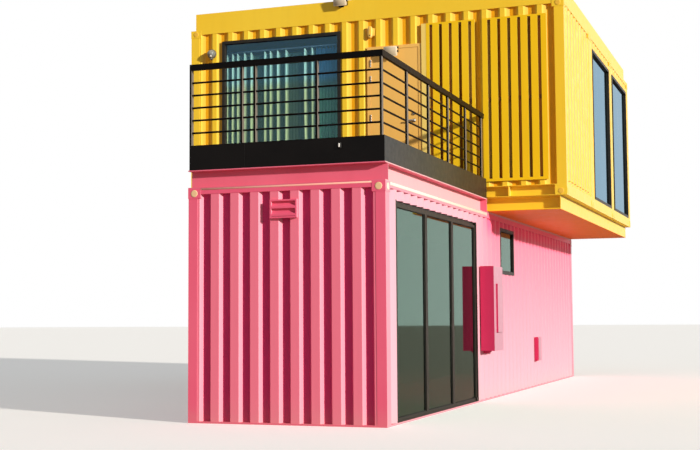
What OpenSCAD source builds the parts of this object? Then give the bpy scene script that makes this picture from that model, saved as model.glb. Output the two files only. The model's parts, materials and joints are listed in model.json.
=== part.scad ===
/* [Containers] */
// Width of every container
cont_w = 2438; // [2300:1:2600]
// Height of a container from its bottom rail to the top of its castings
cont_h = 2896; // [2700:1:3100]
// Length of the ground container
ground_len = 12192; // [11000:1:14000]
// Length of each upper container
upper_len = 6058; // [5600:1:6800]
// Depth of the ground container's bottom rail below the paving
sunk = 168; // [120:1:200]
// How far the upper containers reach past the ground container on the right
overhang_right = 1182; // [900:1:1400]

/* [Container frame] */
// Height of a corner casting
cast_h = 118; // [100:1:130]
// Size of a corner casting along the container
cast_l = 178; // [160:1:200]
// Size of a corner casting across the container
cast_w = 162; // [140:1:180]
// Size of a corner post along the container
post_l = 146; // [120:1:158]
// Size of a corner post across the container
post_w = 120; // [112:1:138]
// Setback of posts and rails behind the faces of the castings
post_set = 4; // [1:0.5:6]
// Radius of the round cover on a casting's hole
cover_r = 38; // [25:1:45]
// How far a casting cover stands proud
cover_t = 3; // [2:0.5:6]
// Height of the upper containers' bottom rails
foot_rail_h = 162; // [140:1:180]
// Height of the top rails
top_rail_h = 68; // [50:1:110]
// Web thickness of the bottom rails of the long walls
rail_web = 16; // [10:1:40]
// Distance of a bottom rail's stiffener from the container's end
rail_plate_x = 850; // [400:1:1500]
// Thickness of a bottom rail's stiffener
rail_plate_t = 20; // [10:1:30]
// Flange thickness of the bottom rails
rail_flange = 8; // [5:1:16]

/* [Walls] */
// Setback of the wall panels behind the faces of the castings
panel_set = 8; // [7:0.5:12]
// Thickness of a lined wall from its outer face to the room
wall_t = 100; // [80:1:103]
// Depth of the corrugation in a side wall
corr_depth = 36; // [20:1:45]
// Pitch of the corrugation in a side wall
side_pitch = 278; // [240:1:320]
// Outer flat of the corrugation in a side wall
side_flat = 72; // [50:1:90]
// Sloping run of the corrugation in a side wall
side_slope = 68; // [30:1:80]
// How far the corrugation of the upper front wall is shifted to the right
front_shift = 28; // [0:1:60]
// Pitch of the corrugation in an end wall
end_pitch = 250; // [220:1:290]
// Outer flat of the corrugation in an end wall
end_flat = 104; // [60:1:120]
// Sloping run of the corrugation in an end wall
end_slope = 31; // [25:1:55]
// Depth of the corrugation in an end wall
end_depth = 46; // [20:1:54]
// Height of the groove above the foot of the windowless end wall
groove_z = 36; // [20:1:60]
// Height of that groove
groove_h = 26; // [10:1:40]
// Depth of that groove
groove_d = 20; // [5:1:25]
// Height of the sill strip under the ground walls
sill_h = 22; // [15:1:40]
// Thickness of the ground floor
ground_floor_t = 30; // [20:1:40]
// Thickness of the upper floor
upper_floor_t = 68; // [40:1:90]
// Height of the upper floor above the bottom of its rails
upper_floor_z = 168; // [166:1:180]
// Depth of every roof's top below the containers' tops
roof_drop = 30; // [12:1:45]
// Thickness of a roof panel between its ribs
roof_t = 40; // [25:1:55]
// Height of the ribs on a roof panel
roof_rib_h = 18; // [8:1:25]
// Pitch of the ribs on a roof panel
roof_pitch = 209; // [180:1:260]

/* [Storefront] */
// Length of the storefront along the ground container
shop_l = 3830; // [3000:1:4000]
// How far the storefront starts past the wall's first recess
shop_in = 28; // [0:1:50]
// Height of the storefront above the ground
shop_h = 2546; // [2300:1:2580]
// Width of the storefront's jambs
shop_jamb = 45; // [30:1:80]
// Height of the storefront's head
shop_head = 36; // [25:1:70]
// Setback of the storefront's head behind its jambs
head_set = 40; // [0:1:50]
// Height of the storefront's track
shop_track = 16; // [10:1:30]
// Setback of the storefront's frame behind the wall panels
shop_set = 2; // [1:1:20]
// Setback of the leaves behind the storefront's frame
leaf_set = 13; // [5:1:20]
// Width of the stop block at the foot of the far jamb
stop_w = 100; // [60:1:150]
// Height of the stop block
stop_h = 56; // [40:1:80]
// Number of leaves in the storefront
shop_leaves = 3; // [2:1:4]
// Width of a leaf's stile
stile_w = 45; // [35:1:70]
// Height of a leaf's top rail
leaf_top = 36; // [30:1:70]
// Height of a leaf's bottom rail
leaf_foot = 30; // [20:1:90]
// Depth of a leaf
leaf_t = 55; // [40:1:58]
// Setback of the storefront's glass behind its leaves
leaf_glass_in = 18; // [8:1:24]
// Gap round each leaf
leaf_gap = 5; // [3:1:8]
// Thickness of every pane of glass
glass_t = 10; // [6:1:14]

/* [Ground details] */
// Distance of the small window from the front
pane_y = 5720; // [5300:1:6500]
// Width of the small window
pane_w = 980; // [600:1:1150]
// Height of the small window
pane_h = 712; // [400:1:760]
// Height of the small window's foot above the ground
pane_z = 1860; // [1500:1:1900]
// How far the small window stands proud of the wall
pane_proud = 3; // [1:1:60]
// Face width of the small window's frame
pane_bar = 50; // [30:1:70]
// Setback of the small window's glass behind its frame
pane_glass_in = 36; // [20:1:60]
// Distance of the wall cabinet from the storefront
cabinet_gap = 174; // [110:1:400]
// Width of the wall cabinet
cabinet_w = 565; // [500:1:650]
// Height of the wall cabinet
cabinet_h = 1212; // [1000:1:1400]
// Height of the wall cabinet's foot above the ground
cabinet_z = 720; // [500:1:900]
// Depth of the wall cabinet
cabinet_d = 198; // [160:1:230]
// Distance of the cabinet's door from its near edge
cabinet_door_y = 130; // [40:1:150]
// Width of the cabinet's door
cabinet_door_w = 345; // [200:1:400]
// Height of the foot of the cabinet's door above the cabinet's foot
cabinet_door_z = 260; // [60:1:300]
// Height of the cabinet's door
cabinet_door_h = 700; // [400:1:750]
// How far the cabinet's door stands proud
cabinet_door_d = 27; // [10:1:60]
// Thickness of the bracket under the cabinet
bracket_t = 45; // [20:1:60]
// Height of the bracket under the cabinet
bracket_h = 38; // [20:1:60]
// Reach of the bracket under the cabinet
bracket_d = 125; // [70:1:150]
// Distance of the meter box from the front
meter_y = 8240; // [7500:1:11000]
// Width of the meter box
meter_w = 280; // [150:1:400]
// Height of the meter box
meter_h = 400; // [250:1:500]
// Height of the meter box's foot above the ground
meter_z = 450; // [200:1:1200]
// Depth of the meter box
meter_d = 70; // [40:1:120]
// Margin round the meter box's lid
meter_rim = 20; // [10:1:40]
// How far the meter box's lid stands proud
meter_lid = 6; // [3:1:15]
// Width of the vent in the front wall
vent_w = 333; // [250:1:450]
// Height of the vent in the front wall
vent_h = 213; // [160:1:240]
// Depth of the vent's top below the container's top
vent_drop = 170; // [120:1:400]
// How far the vent stands proud
vent_d = 38; // [12:1:45]
// Width of the rim round the vent's slots
vent_rim = 18; // [10:1:30]
// Thickness of the vent's back plate
vent_back = 4; // [3:1:8]
// Number of blades in the vent
vent_blades = 2; // [2:1:4]

/* [Beams and terrace] */
// Height of the upper containers above the ground container
beam_h = 238; // [180:1:300]
// Height of the channel beams round the terrace
edge_beam_h = 216; // [150:1:260]
// Width of the flanges of the channel beams round the terrace
edge_beam_w = 110; // [60:1:130]
// Width of the flanges of the upper channel frame
beam_w = 120; // [60:1:130]
// Flange thickness of a channel beam
beam_flange = 12; // [8:1:20]
// Web thickness of a channel beam
beam_web = 10; // [8:1:16]
// Height of the strips that carry the upper channel frame
seat_h = 37; // [20:1:60]
// Width of the strips that carry the upper channel frame
seat_w = 90; // [50:1:104]
// How far the upper channel frame stands in from the containers' ends
frame_in = 100; // [20:1:150]
// How far the upper channel frame stands in from the containers' sides
frame_side_in = 20; // [0:1:60]
// Thickness of the soffit plates
soffit_t = 6; // [4:1:10]
// Gap between the terrace beams and the upper channel frame
beam_gap = 33; // [10:1:60]
// Height of the terrace's fascia above the beams
fascia_h = 296; // [220:1:350]
// Thickness of the fascia
fascia_t = 16; // [10:1:24]
// Distance of the joint in the front fascia from the left end
fascia_joint = 725; // [400:1:2000]
// Width of that joint
joint_w = 3; // [2:1:8]
// Setback of the fascia behind the beams
fascia_set = 10; // [4:1:20]
// Thickness of the deck boards
deck_t = 40; // [25:1:60]
// Width of a deck bearer
bearer_w = 50; // [40:1:80]
// Number of deck bearers
bearers = 5; // [3:1:7]

/* [Railing] */
// Height of the handrail's top above the deck
rail_h = 1077; // [950:1:1200]
// Height of the handrail
handrail_h = 71; // [50:1:100]
// Width of the handrail
handrail_w = 40; // [30:1:60]
// Depth of a post along the side
rail_post_d = 60; // [40:1:80]
// Thickness of a post across the front
rail_post_w = 24; // [15:1:40]
// Diameter of a rod
rod_d = 24; // [12:1:30]
// Number of rods
rods = 5; // [3:1:6]
// Height of the highest rod below the handrail's top
rod_drop = 218; // [180:1:260]
// Spacing of the rods
rod_pitch = 150; // [130:1:155]
// Distance of the near joint post from the left end of the front railing
joint_x = 671; // [500:1:700]
// Distance between the posts of a joint in the front railing
joint_gap = 166; // [100:1:250]
// Distance of the next post from the left end of the front railing
mid_x = 1608; // [1200:1:1900]
// Setback of the posts behind the handrail's outer side
rail_post_in = 16; // [0:1:30]
// Number of bays in the side railing
side_bays = 5; // [3:1:7]
// Distance between the side railing and the slat screens
rail_gap = 8; // [5:1:200]
// Distance of the last post from the side railing's end
last_post_in = 71; // [10:1:150]

/* [Upper openings] */
// Width of an end window
end_win_w = 1960; // [1500:1:2050]
// How far the middle container's window stands off centre, away from the front
middle_shift = 50; // [0:1:90]
// Height of every tall window's head below the containers' tops
win_drop = 210; // [180:1:400]
// Face width of a tall window's frame
win_bar = 50; // [40:1:80]
// Depth of a tall window's frame
win_t = 90; // [60:1:100]
// How far a tall window's frame stands proud of the panels
win_proud = 6; // [2:1:20]
// Distance of the front window from the left end
front_win_x = 550; // [400:1:700]
// Width of the front window
front_win_w = 2023; // [1500:1:2300]
// Height of the front window's foot above the upper floor
front_win_z = 66; // [20:1:300]
// Distance of the upper door from the left end
door_x = 3015; // [2950:1:3100]
// Width of the upper door with its frame
door_w = 870; // [800:1:900]
// Height of the upper door with its frame
door_h = 2226; // [2000:1:2300]
// Face width of the door frame
door_bar = 50; // [35:1:60]
// Thickness of the door leaf
door_t = 45; // [35:1:60]
// Gap round the door leaf
door_gap = 4; // [2:1:6]
// Width of the tall jamb beside the door
tall_jamb_w = 75; // [60:1:110]
// Width of the rebate between the door frame and the tall jamb
rebate_w = 4; // [2:1:30]
// How far the tall jamb stands proud of the panels
tall_jamb_d = 18; // [10:1:90]
// Height of the door's lever above the leaf's foot
lever_z = 1045; // [900:1:1200]
// Height of a hinge
hinge_h = 110; // [80:1:140]

/* [Slat screens] */
// Width of a slat
slat_w = 103; // [80:1:130]
// Gap between slats
slat_gap = 48; // [20:1:60]
// Thickness of a screen
slat_t = 12; // [8:1:60]
// Thickness of the rails behind a screen
slat_back = 8; // [5:1:40]
// Height of a rail behind a screen
slat_rail_h = 60; // [40:1:90]
// Height of the closed band at a screen's foot
slat_foot = 40; // [20:1:80]
// Height of the closed band at a screen's head
slat_head = 25; // [15:1:80]
// Height of the screens' feet above the upper floor
screen_z = 66; // [20:1:300]
// Width of the left screen
screen_a_w = 755; // [740:1:760]
// Number of slots in the left screen
screen_a_n = 5; // [2:1:5]
// Distance between the screens
screen_gap = 113; // [60:1:130]
// Width of the right screen
screen_b_w = 963; // [920:1:970]
// Number of slots in the right screen
screen_b_n = 6; // [2:1:6]

/* [Roof edge] */
// Height of the parapet above the castings
parapet_h = 270; // [150:1:350]
// Thickness of the parapet
parapet_t = 30; // [15:1:50]
// How far the front and back parapets stand in from each corner
parapet_in = 86; // [60:1:160]
// How far the side parapets stand in from the containers' ends
parapet_side_in = 60; // [4:1:80]

/* [Lamps] */
// Diameter of the round wall lamp
globe_d = 150; // [90:1:180]
// Height of the round wall lamp's drum
globe_base = 40; // [20:1:60]
// Distance of the round wall lamp from the left end
globe_x = 375; // [300:1:400]
// Height of the round wall lamp's middle below the containers' tops
globe_drop = 402; // [300:1:700]
// Length of the flood lamps
flood_l = 220; // [100:1:260]
// Height of the flood lamps
flood_h = 150; // [80:1:180]
// Depth of the flood lamps
flood_d = 70; // [50:1:100]
// How far a flood lamp hangs off its wall
flood_off = 26; // [10:1:50]
// Distance of the door's flood lamp from the left end
flood_x = 3418; // [3300:1:3500]
// Distance of the parapet's flood lamp from the left end
high_lamp_x = 2600; // [2000:1:4000]
// How far that lamp stands above its bracket
high_lamp_lift = 115; // [60:1:140]
// Distance of the oval wall fixture from the left end
oval_x = 3102; // [3100:1:3200]
// Width of the oval wall fixture
oval_w = 68; // [60:1:110]
// Height of the oval wall fixture
oval_h = 190; // [180:1:290]
// How far the oval wall fixture stands proud
oval_d = 95; // [50:1:120]
// Height of the oval wall fixture above the door frame
oval_z = 137; // [20:1:170]
// Distance of the small fitting on the fascia from the left end of the terrace
fitting_x = 1877; // [900:1:2200]
// Height of the small fitting's foot above the fascia's foot
fitting_z = 166; // [20:1:200]

/* [Hidden] */

$fn = 40;
pink = "#EF6483";
yellow = "#FFC928";
peach = "#F3BE68";
near_black = "#1A1615";
dark_grey = "#3A3833";
glass_blue = "#9DB4BA";
upper_count = 3;
butt = 1;
cut = 20;

gx = cont_w / 2;
gy = ground_len / 2;
ground_top = cont_h - sunk;
ux1 = gx + overhang_right;
ux0 = ux1 - upper_len;
uy1 = gy;
uy0 = uy1 - upper_count * cont_w;
terrace_z0 = ground_top + edge_beam_h;
uz0 = ground_top + beam_h;
uz1 = uz0 + cont_h;
floor_top = uz0 + upper_floor_z;
wall_in = panel_set + wall_t;
first_flat = post_l + edge_run(ground_len - 2 * post_l, side_pitch, side_flat) + side_pitch - side_flat;
shop_y0 = first_flat + shop_in - gy;
shop_y1 = shop_y0 + shop_l;
deck_top = floor_top;
rail_in = fascia_set + fascia_t + 4;
frame_h = beam_h - seat_h;

// Count of recesses that fit a wall of length l, with an outer flat between each two
function recesses(l, pitch, flat) = floor((l + flat) / pitch);

// Plain run at each end of a wall of length l before its first recess
function edge_run(l, pitch, flat) = (l + flat - recesses(l, pitch, flat) * pitch) / 2;

// Outline of a corrugated wall seen from above, outer face along y = 0
function corrugated(l, pitch, flat, slope, depth, t) = let(
        n = recesses(l, pitch, flat),
        e = edge_run(l, pitch, flat),
        r = pitch - flat)
    concat([[0, t], [0, 0]],
        [for (i = [0 : n - 1], p = [[0, 0], [slope, depth], [r - slope, depth], [r, 0]])
            [e + i * pitch + p[0], p[1]]],
        [[l, 0], [l, t]]);

module box(lo, hi) {
    translate(lo) cube(hi - lo);
}

// Side wall panel that starts at the origin, runs along +X and faces -Y
module side_panel(l, h) {
    linear_extrude(h) polygon(corrugated(l, side_pitch, side_flat, side_slope, corr_depth, wall_t));
}

// The same panel with its corrugation shifted along, cut off at both ends
module shifted_panel(l, h, shift) {
    whole_l = l + 2 * side_pitch;
    linear_extrude(h) intersection() {
        translate([shift - side_pitch, 0])
            polygon(corrugated(whole_l, side_pitch, side_flat, side_slope, corr_depth, wall_t));
        square([l, wall_t]);
    }
}

// End wall panel that starts at the origin, runs along +X and faces -Y
module end_panel(l, h) {
    linear_extrude(h) polygon(corrugated(l, end_pitch, end_flat, end_slope, end_depth, wall_t));
}

// Turns a panel to face +X, from its near end at y to its far end
module face_right(x, y, z) {
    translate([x, y, z]) rotate([0, 0, 90]) children();
}

// Turns a panel to face -X, from its near end at y, mirrored from face_right
module face_left(x, y, z) {
    mirror([1, 0, 0]) face_right(-x, y, z) children();
}

// Corner post with its castings, its outer corner at the origin, reaching along +X and +Y.
// Along is the size along X, across along Y. Covers mark the holes of the castings.
module corner_post(along, across, cast_along, cast_across, h, foot) {
    box([post_set, post_set, foot ? cast_h : 0], [along, across, h - cast_h]);
    translate([0, 0, h - cast_h]) casting(cast_along, cast_across);
    if (foot) {
        casting(cast_along, cast_across);
        box([post_set, post_set, cast_h], [cast_along, wall_in, foot_rail_h]);
        box([post_set, post_set, cast_h], [wall_in, cast_across, foot_rail_h]);
    }
}

// Corner casting with a round cover on each outer face
module casting(along, across) {
    cube([along, across, cast_h]);
    translate([along / 2, -cover_t, cast_h / 2]) rotate([-90, 0, 0]) cylinder(r = cover_r, h = 2 * cover_t);
    translate([-cover_t, across / 2, cast_h / 2]) rotate([0, 90, 0]) cylinder(r = cover_r, h = 2 * cover_t);
}

// Puts its child at the four corners of a container whose length runs along X
module four_corners(x0, x1, y0, y1) {
    for (sx = [0, 1], sy = [0, 1])
        translate([sx ? x1 : x0, sy ? y1 : y0, 0])
            mirror([sx, 0, 0]) mirror([0, sy, 0]) children();
}

// Space over z0 that one container's posts and castings fill, for cutting what lies between them
module post_space(x0, x1, y0, y1, along, across, z0) {
    for (sx = [0, 1], sy = [0, 1])
        translate([sx ? x1 - along : x0, sy ? y1 - across : y0, z0])
            cube([along, across, uz1 + cut - z0]);
}

// Bottom rail of a long wall along +X, its open side to -Y, with a stiffener near each end
module foot_rail(l) {
    plate_x = rail_plate_x - cast_l;
    rotate([90, 0, 90]) linear_extrude(l) polygon([
        [post_set, 0], [wall_in, 0], [wall_in, foot_rail_h], [post_set, foot_rail_h],
        [post_set, foot_rail_h - rail_flange], [wall_in - rail_web, foot_rail_h - rail_flange],
        [wall_in - rail_web, rail_flange], [post_set, rail_flange]]);
    for (x = [plate_x, l - plate_x - rail_plate_t])
        box([x, post_set, 0], [x + rail_plate_t, wall_in, foot_rail_h]);
}

// Channel beam along +X, w wide and h high, its open side to -Y, with a plate at each of some places
module channel(l, w, h, plates = []) {
    rotate([90, 0, 90]) linear_extrude(l) polygon([
        [0, 0], [w, 0], [w, h], [0, h], [0, h - beam_flange],
        [w - beam_web, h - beam_flange], [w - beam_web, beam_flange], [0, beam_flange]]);
    for (x = plates)
        box([x, 0, 0], [x + beam_web, w, h]);
}

// The same channel closed by a plate at each end
module closed_channel(l, w, h) {
    channel(l, w, h, [0, l - beam_web]);
}

// The closed channel with its open side to +Y and its web along -Y
module channel_back(l, w, h) {
    translate([l, w, 0]) rotate([0, 0, 180]) closed_channel(l, w, h);
}

// Rectangular frame in the YZ plane, its near lower corner at the origin, t deep along +X
module frame_yz(w, h, jamb, head, foot, t) {
    difference() {
        cube([t, w, h]);
        box([-cut, jamb, foot], [t + cut, w - jamb, h - head]);
    }
}

// The same frame in the XZ plane, t deep along +Y
module frame_xz(w, h, jamb, head, foot, t) {
    difference() {
        cube([w, t, h]);
        box([jamb, -cut, foot], [w - jamb, t + cut, h - head]);
    }
}

// Ground storey

module ground_floor() {
    color("#B9A98C") difference() {
        box([-gx + wall_in, -gy + wall_in, 0], [gx - wall_in, gy - wall_in, ground_floor_t]);
        post_space(-gx, gx, -gy, gy, post_w, post_l, -cut);
    }
}

module ground_sill() {
    color(pink) {
        for (s = [-1, 1]) {
            box([s < 0 ? -gx + post_set : gx - wall_in, -gy + post_l, 0],
                [s < 0 ? -gx + wall_in : gx - post_set, gy - post_l, sill_h]);
            box([-gx + post_w, s < 0 ? -gy + post_set : gy - wall_in, 0],
                [gx - post_w, s < 0 ? -gy + wall_in : gy - post_set, sill_h]);
        }
    }
}

module ground_corner_posts() {
    color(pink) four_corners(-gx, gx, -gy, gy)
        corner_post(post_w, post_l, cast_w, cast_l, ground_top, false);
}

module ground_top_rails() {
    z0 = ground_top - top_rail_h;
    color(pink) for (s = [-1, 1]) {
        box([s < 0 ? -gx + post_set : gx - wall_in, -gy + cast_l, z0],
            [s < 0 ? -gx + wall_in : gx - post_set, gy - cast_l, ground_top]);
        box([-gx + cast_w, s < 0 ? -gy + post_set : gy - wall_in, z0],
            [gx - cast_w, s < 0 ? -gy + wall_in : gy - post_set, ground_top]);
    }
}

ground_wall_h = ground_top - top_rail_h - sill_h;

// Cuts the space of the ground container's castings out of a wall
module clear_of_castings() {
    difference() {
        children();
        post_space(-gx, gx, -gy, gy, cast_w, cast_l, ground_top - cast_h);
    }
}

module ground_front_wall() {
    color(pink) clear_of_castings() translate([-gx + post_w, -gy + panel_set, sill_h])
        end_panel(cont_w - 2 * post_w, ground_wall_h);
}

module ground_back_wall() {
    color(pink) clear_of_castings() translate([gx - post_w, gy - panel_set, sill_h]) rotate([0, 0, 180])
        end_panel(cont_w - 2 * post_w, ground_wall_h);
}

module ground_left_wall() {
    color(pink) clear_of_castings() face_left(-gx + panel_set, -gy + post_l, sill_h)
        side_panel(ground_len - 2 * post_l, ground_wall_h);
}

// The whole right wall of the ground container, before it is divided
module ground_right_panel() {
    clear_of_castings() face_right(gx - panel_set, -gy + post_l, sill_h)
        side_panel(ground_len - 2 * post_l, ground_wall_h);
}

module ground_right_wall_front() {
    color(pink) intersection() {
        ground_right_panel();
        box([0, -gy, 0], [2 * gx, shop_y0, ground_top]);
    }
}

module ground_right_wall_over() {
    color(pink) intersection() {
        ground_right_panel();
        box([0, shop_y0, shop_h], [2 * gx, shop_y1, ground_top]);
    }
}

module ground_right_wall_rear() {
    color(pink) difference() {
        intersection() {
            ground_right_panel();
            box([0, shop_y1, 0], [2 * gx, gy, ground_top]);
        }
        box([0, -gy + pane_y, pane_z], [2 * gx, -gy + pane_y + pane_w, pane_z + pane_h]);
    }
}

module ground_roof() {
    z1 = ground_top - roof_drop;
    color(pink) difference() {
        box([-gx + wall_in, -gy + wall_in, z1 - roof_t], [gx - wall_in, gy - wall_in, z1]);
        post_space(-gx, gx, -gy, gy, cast_w, cast_l, -cut);
    }
}

// Framed vent plate with sloping blades over its slots
module front_vent() {
    pitch = (vent_h - 2 * vent_rim) / vent_blades;
    run = vent_d - vent_back;
    color(pink) translate([-vent_w / 2, -gy + panel_set - vent_d, ground_top - vent_drop - vent_h]) {
        difference() {
            cube([vent_w, vent_d, vent_h]);
            box([vent_rim, -cut, vent_rim], [vent_w - vent_rim, run, vent_h - vent_rim]);
        }
        for (i = [0 : vent_blades - 1])
            translate([vent_rim, run, vent_rim + i * pitch]) rotate([90, 0, 90])
                linear_extrude(vent_w - 2 * vent_rim)
                    polygon([[0, pitch * 0.7], [0, pitch * 0.5], [-run, pitch * 0.05], [-run, pitch * 0.3]]);
    }
}

// Storefront

shop_x = gx - panel_set - shop_set;
shop_t = shop_x - gx + wall_in;
shop_z0 = sill_h;
leaf_w = (shop_l - 2 * shop_jamb - (shop_leaves + 1) * leaf_gap) / shop_leaves;
leaf_h = shop_h - shop_z0 - shop_head - shop_track - leaf_gap;
leaf_z = shop_z0 + shop_track;
leaf_x = shop_x - leaf_set - leaf_t;

function leaf_y(i) = shop_y0 + shop_jamb + leaf_gap + i * (leaf_w + leaf_gap);

module storefront_frame() {
    color(dark_grey) {
        translate([gx - wall_in, shop_y0, shop_z0]) difference() {
            frame_yz(shop_l, shop_h - shop_z0, shop_jamb, shop_head, shop_track, shop_t);
            box([shop_t - head_set, shop_jamb, shop_h - shop_z0 - shop_head - cut],
                [shop_t + cut, shop_l - shop_jamb, shop_h - shop_z0 + cut]);
        }
        translate([shop_x, shop_y1 - shop_jamb / 2 - stop_w, shop_z0])
            cube([gx - post_set - shop_x, stop_w, stop_h]);
    }
}

module storefront_leaves() {
    color(dark_grey) for (i = [0 : shop_leaves - 1])
        translate([leaf_x, leaf_y(i), leaf_z]) frame_yz(leaf_w, leaf_h, stile_w, leaf_top, leaf_foot, leaf_t);
}

module storefront_glass() {
    color(glass_blue, 0.5) for (i = [0 : shop_leaves - 1])
        translate([leaf_x + leaf_t - leaf_glass_in - glass_t, leaf_y(i) + stile_w, leaf_z + leaf_foot])
            cube([glass_t, leaf_w - 2 * stile_w, leaf_h - leaf_top - leaf_foot]);
}

module small_window_frame() {
    color(dark_grey) translate([gx - wall_in, -gy + pane_y, pane_z])
        frame_yz(pane_w, pane_h, pane_bar, pane_bar, pane_bar, wall_t + pane_proud);
}

module small_window_glass() {
    color(glass_blue, 0.5)
        translate([gx - panel_set + pane_proud - pane_glass_in, -gy + pane_y + pane_bar, pane_z + pane_bar])
            cube([glass_t, pane_w - 2 * pane_bar, pane_h - 2 * pane_bar]);
}

// Cabinet on the right wall with a raised door and a bracket under it
module wall_cabinet() {
    color(pink) translate([gx - panel_set, shop_y1 + cabinet_gap, cabinet_z]) {
        cube([cabinet_d, cabinet_w, cabinet_h]);
        box([cabinet_d, cabinet_door_y, cabinet_door_z],
            [cabinet_d + cabinet_door_d, cabinet_door_y + cabinet_door_w,
                cabinet_door_z + cabinet_door_h]);
        translate([0, cabinet_door_y + bracket_t, 0]) rotate([90, 0, 0]) linear_extrude(bracket_t)
            polygon([[0, 0], [0, -bracket_h], [bracket_d - bracket_h, -bracket_h], [bracket_d, 0]]);
    }
}

module meter_box() {
    color(pink) translate([gx - panel_set, -gy + meter_y, meter_z]) {
        cube([meter_d, meter_w, meter_h]);
        box([meter_d, meter_rim, meter_rim], [meter_d + meter_lid, meter_w - meter_rim, meter_h - meter_rim]);
    }
}

// Beams and terrace

// Channel beams round the terrace, and the strips that carry the upper channel frame
module terrace_beams() {
    w = edge_beam_w;
    side_y0 = w + butt - gy;
    side_l = uy0 - beam_gap - side_y0;
    color(pink) translate([0, 0, ground_top]) {
        translate([-gx, -gy, 0]) channel(cont_w, w, edge_beam_h);
        face_right(gx, side_y0, 0) channel(side_l, w, edge_beam_h, [side_l - beam_web]);
        face_left(-gx, side_y0, 0) channel(side_l, w, edge_beam_h, [side_l - beam_web]);
        translate([-gx + w + butt, uy0 - beam_gap - w, 0])
            channel_back(cont_w - 2 * w - 2 * butt, w, edge_beam_h);
        for (x = [-gx, gx - seat_w])
            box([x, uy0 + frame_side_in, 0], [x + seat_w, uy1 - frame_side_in, seat_h]);
    }
}

module terrace_deck() {
    edge = fascia_set + fascia_t;
    span = cont_w - 2 * edge - bearer_w;
    color("#8A6B4B") {
        box([-gx + edge, -gy + edge, deck_top - deck_t], [gx - edge, uy0, deck_top]);
        for (i = [0 : bearers - 1])
            box([-gx + edge + span * i / (bearers - 1), -gy + edge, terrace_z0],
                [-gx + edge + span * i / (bearers - 1) + bearer_w, uy0, deck_top - deck_t]);
    }
}

module terrace_fascia() {
    inner = gx - fascia_set;
    joint = -gx + fascia_joint;
    y0 = -gy + fascia_set;
    color(near_black) translate([0, 0, terrace_z0]) {
        box([-inner, y0, 0], [joint - joint_w / 2, y0 + fascia_t, fascia_h]);
        box([joint + joint_w / 2, y0, 0], [inner, y0 + fascia_t, fascia_h]);
        for (s = [-1, 1])
            box([s < 0 ? -inner : inner - fascia_t, y0 + fascia_t + butt, 0],
                [s < 0 ? fascia_t - inner : inner, uy0 - butt, fascia_h]);
    }
}

// Railing

rail_z1 = deck_top + rail_h;
rail_mid = rail_in + rail_post_d / 2;
rail_x1 = gx - rail_in;
post_x1 = rail_x1 - rail_post_in;
screen_y = uy0 + panel_set - slat_back - slat_t;
side_rail_y0 = -gy + rail_in + rail_post_d + butt;
rail_end = screen_y - rail_gap;

module rail_post(x, y, z0) {
    box([x - rail_post_w / 2, y - rail_post_d / 2, z0], [x + rail_post_w / 2, y + rail_post_d / 2, rail_z1]);
}

function rod_z(i) = rail_z1 - rod_drop - i * rod_pitch;

// Front railing with its corner post; at the left edge it stands on the fascia
module railing_front() {
    y = -gy + rail_mid;
    color(near_black) {
        box([-gx, -gy + rail_in, rail_z1 - handrail_h], [rail_x1, -gy + rail_in + handrail_w, rail_z1]);
        box([rail_x1 - handrail_w, -gy + rail_in, rail_z1 - handrail_h],
            [rail_x1, side_rail_y0 - butt, rail_z1]);
        rail_post(-gx + rail_post_w / 2, y, terrace_z0 + fascia_h);
        for (x = [joint_x - gx, joint_x + joint_gap - gx, mid_x - gx, post_x1 - rail_post_w / 2])
            rail_post(x, y, deck_top);
        for (i = [0 : rods - 1])
            translate([-gx, y, rod_z(i)]) rotate([0, 90, 0]) cylinder(d = rod_d, h = post_x1 + gx, $fn = 12);
    }
}

// Side railing from the corner to the slat screens
module railing_right() {
    y0 = side_rail_y0;
    x = post_x1 - rail_post_w / 2;
    bay = (rail_end - last_post_in - rail_post_d / 2 - y0) / side_bays;
    color(near_black) {
        box([rail_x1 - handrail_w, y0, rail_z1 - handrail_h], [rail_x1, rail_end, rail_z1]);
        for (i = [1 : side_bays])
            rail_post(x, y0 + i * bay, deck_top);
        for (i = [0 : rods - 1])
            translate([x, y0, rod_z(i)]) rotate([-90, 0, 0])
                cylinder(d = rod_d, h = rail_end - last_post_in - y0, $fn = 12);
    }
}

// Upper storey

function upper_y(k) = uy0 + k * cont_w;

frame_x0 = ux0 + frame_in;
frame_x1 = ux1 - frame_in;
frame_y0 = uy0 + frame_side_in;
frame_y1 = uy1 - frame_side_in;

// Channel frame that carries the upper containers, its webs outward at the ends
module upper_base_beams() {
    l = frame_x1 - frame_x0;
    side_l = frame_y1 - frame_y0 - 2 * beam_w - 2 * butt;
    color(yellow) translate([0, 0, ground_top + seat_h]) {
        translate([frame_x0, frame_y0, 0]) closed_channel(l, beam_w, frame_h);
        translate([frame_x1, frame_y1, 0]) rotate([0, 0, 180]) closed_channel(l, beam_w, frame_h);
        face_right(frame_x1, frame_y0 + beam_w + butt, 0) channel_back(side_l, beam_w, frame_h);
        face_left(frame_x0, frame_y0 + beam_w + butt, 0) channel_back(side_l, beam_w, frame_h);
        for (k = [1 : upper_count - 1])
            translate([frame_x0 + beam_w + butt, upper_y(k) - beam_w / 2, 0])
                closed_channel(l - 2 * beam_w - 2 * butt, beam_w, frame_h);
    }
}

module upper_soffits() {
    z1 = ground_top + seat_h;
    color(yellow) {
        box([gx + butt, frame_y0, z1 - soffit_t], [frame_x1, frame_y1, z1]);
        box([frame_x0, frame_y0, z1 - soffit_t], [-gx - butt, frame_y1, z1]);
    }
}

module upper_floor() {
    color("#B9A98C") difference() {
        box([ux0 + wall_in, uy0 + wall_in, floor_top - upper_floor_t],
            [ux1 - wall_in, uy1 - wall_in, floor_top]);
        upper_post_space(-cut);
    }
}

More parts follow.
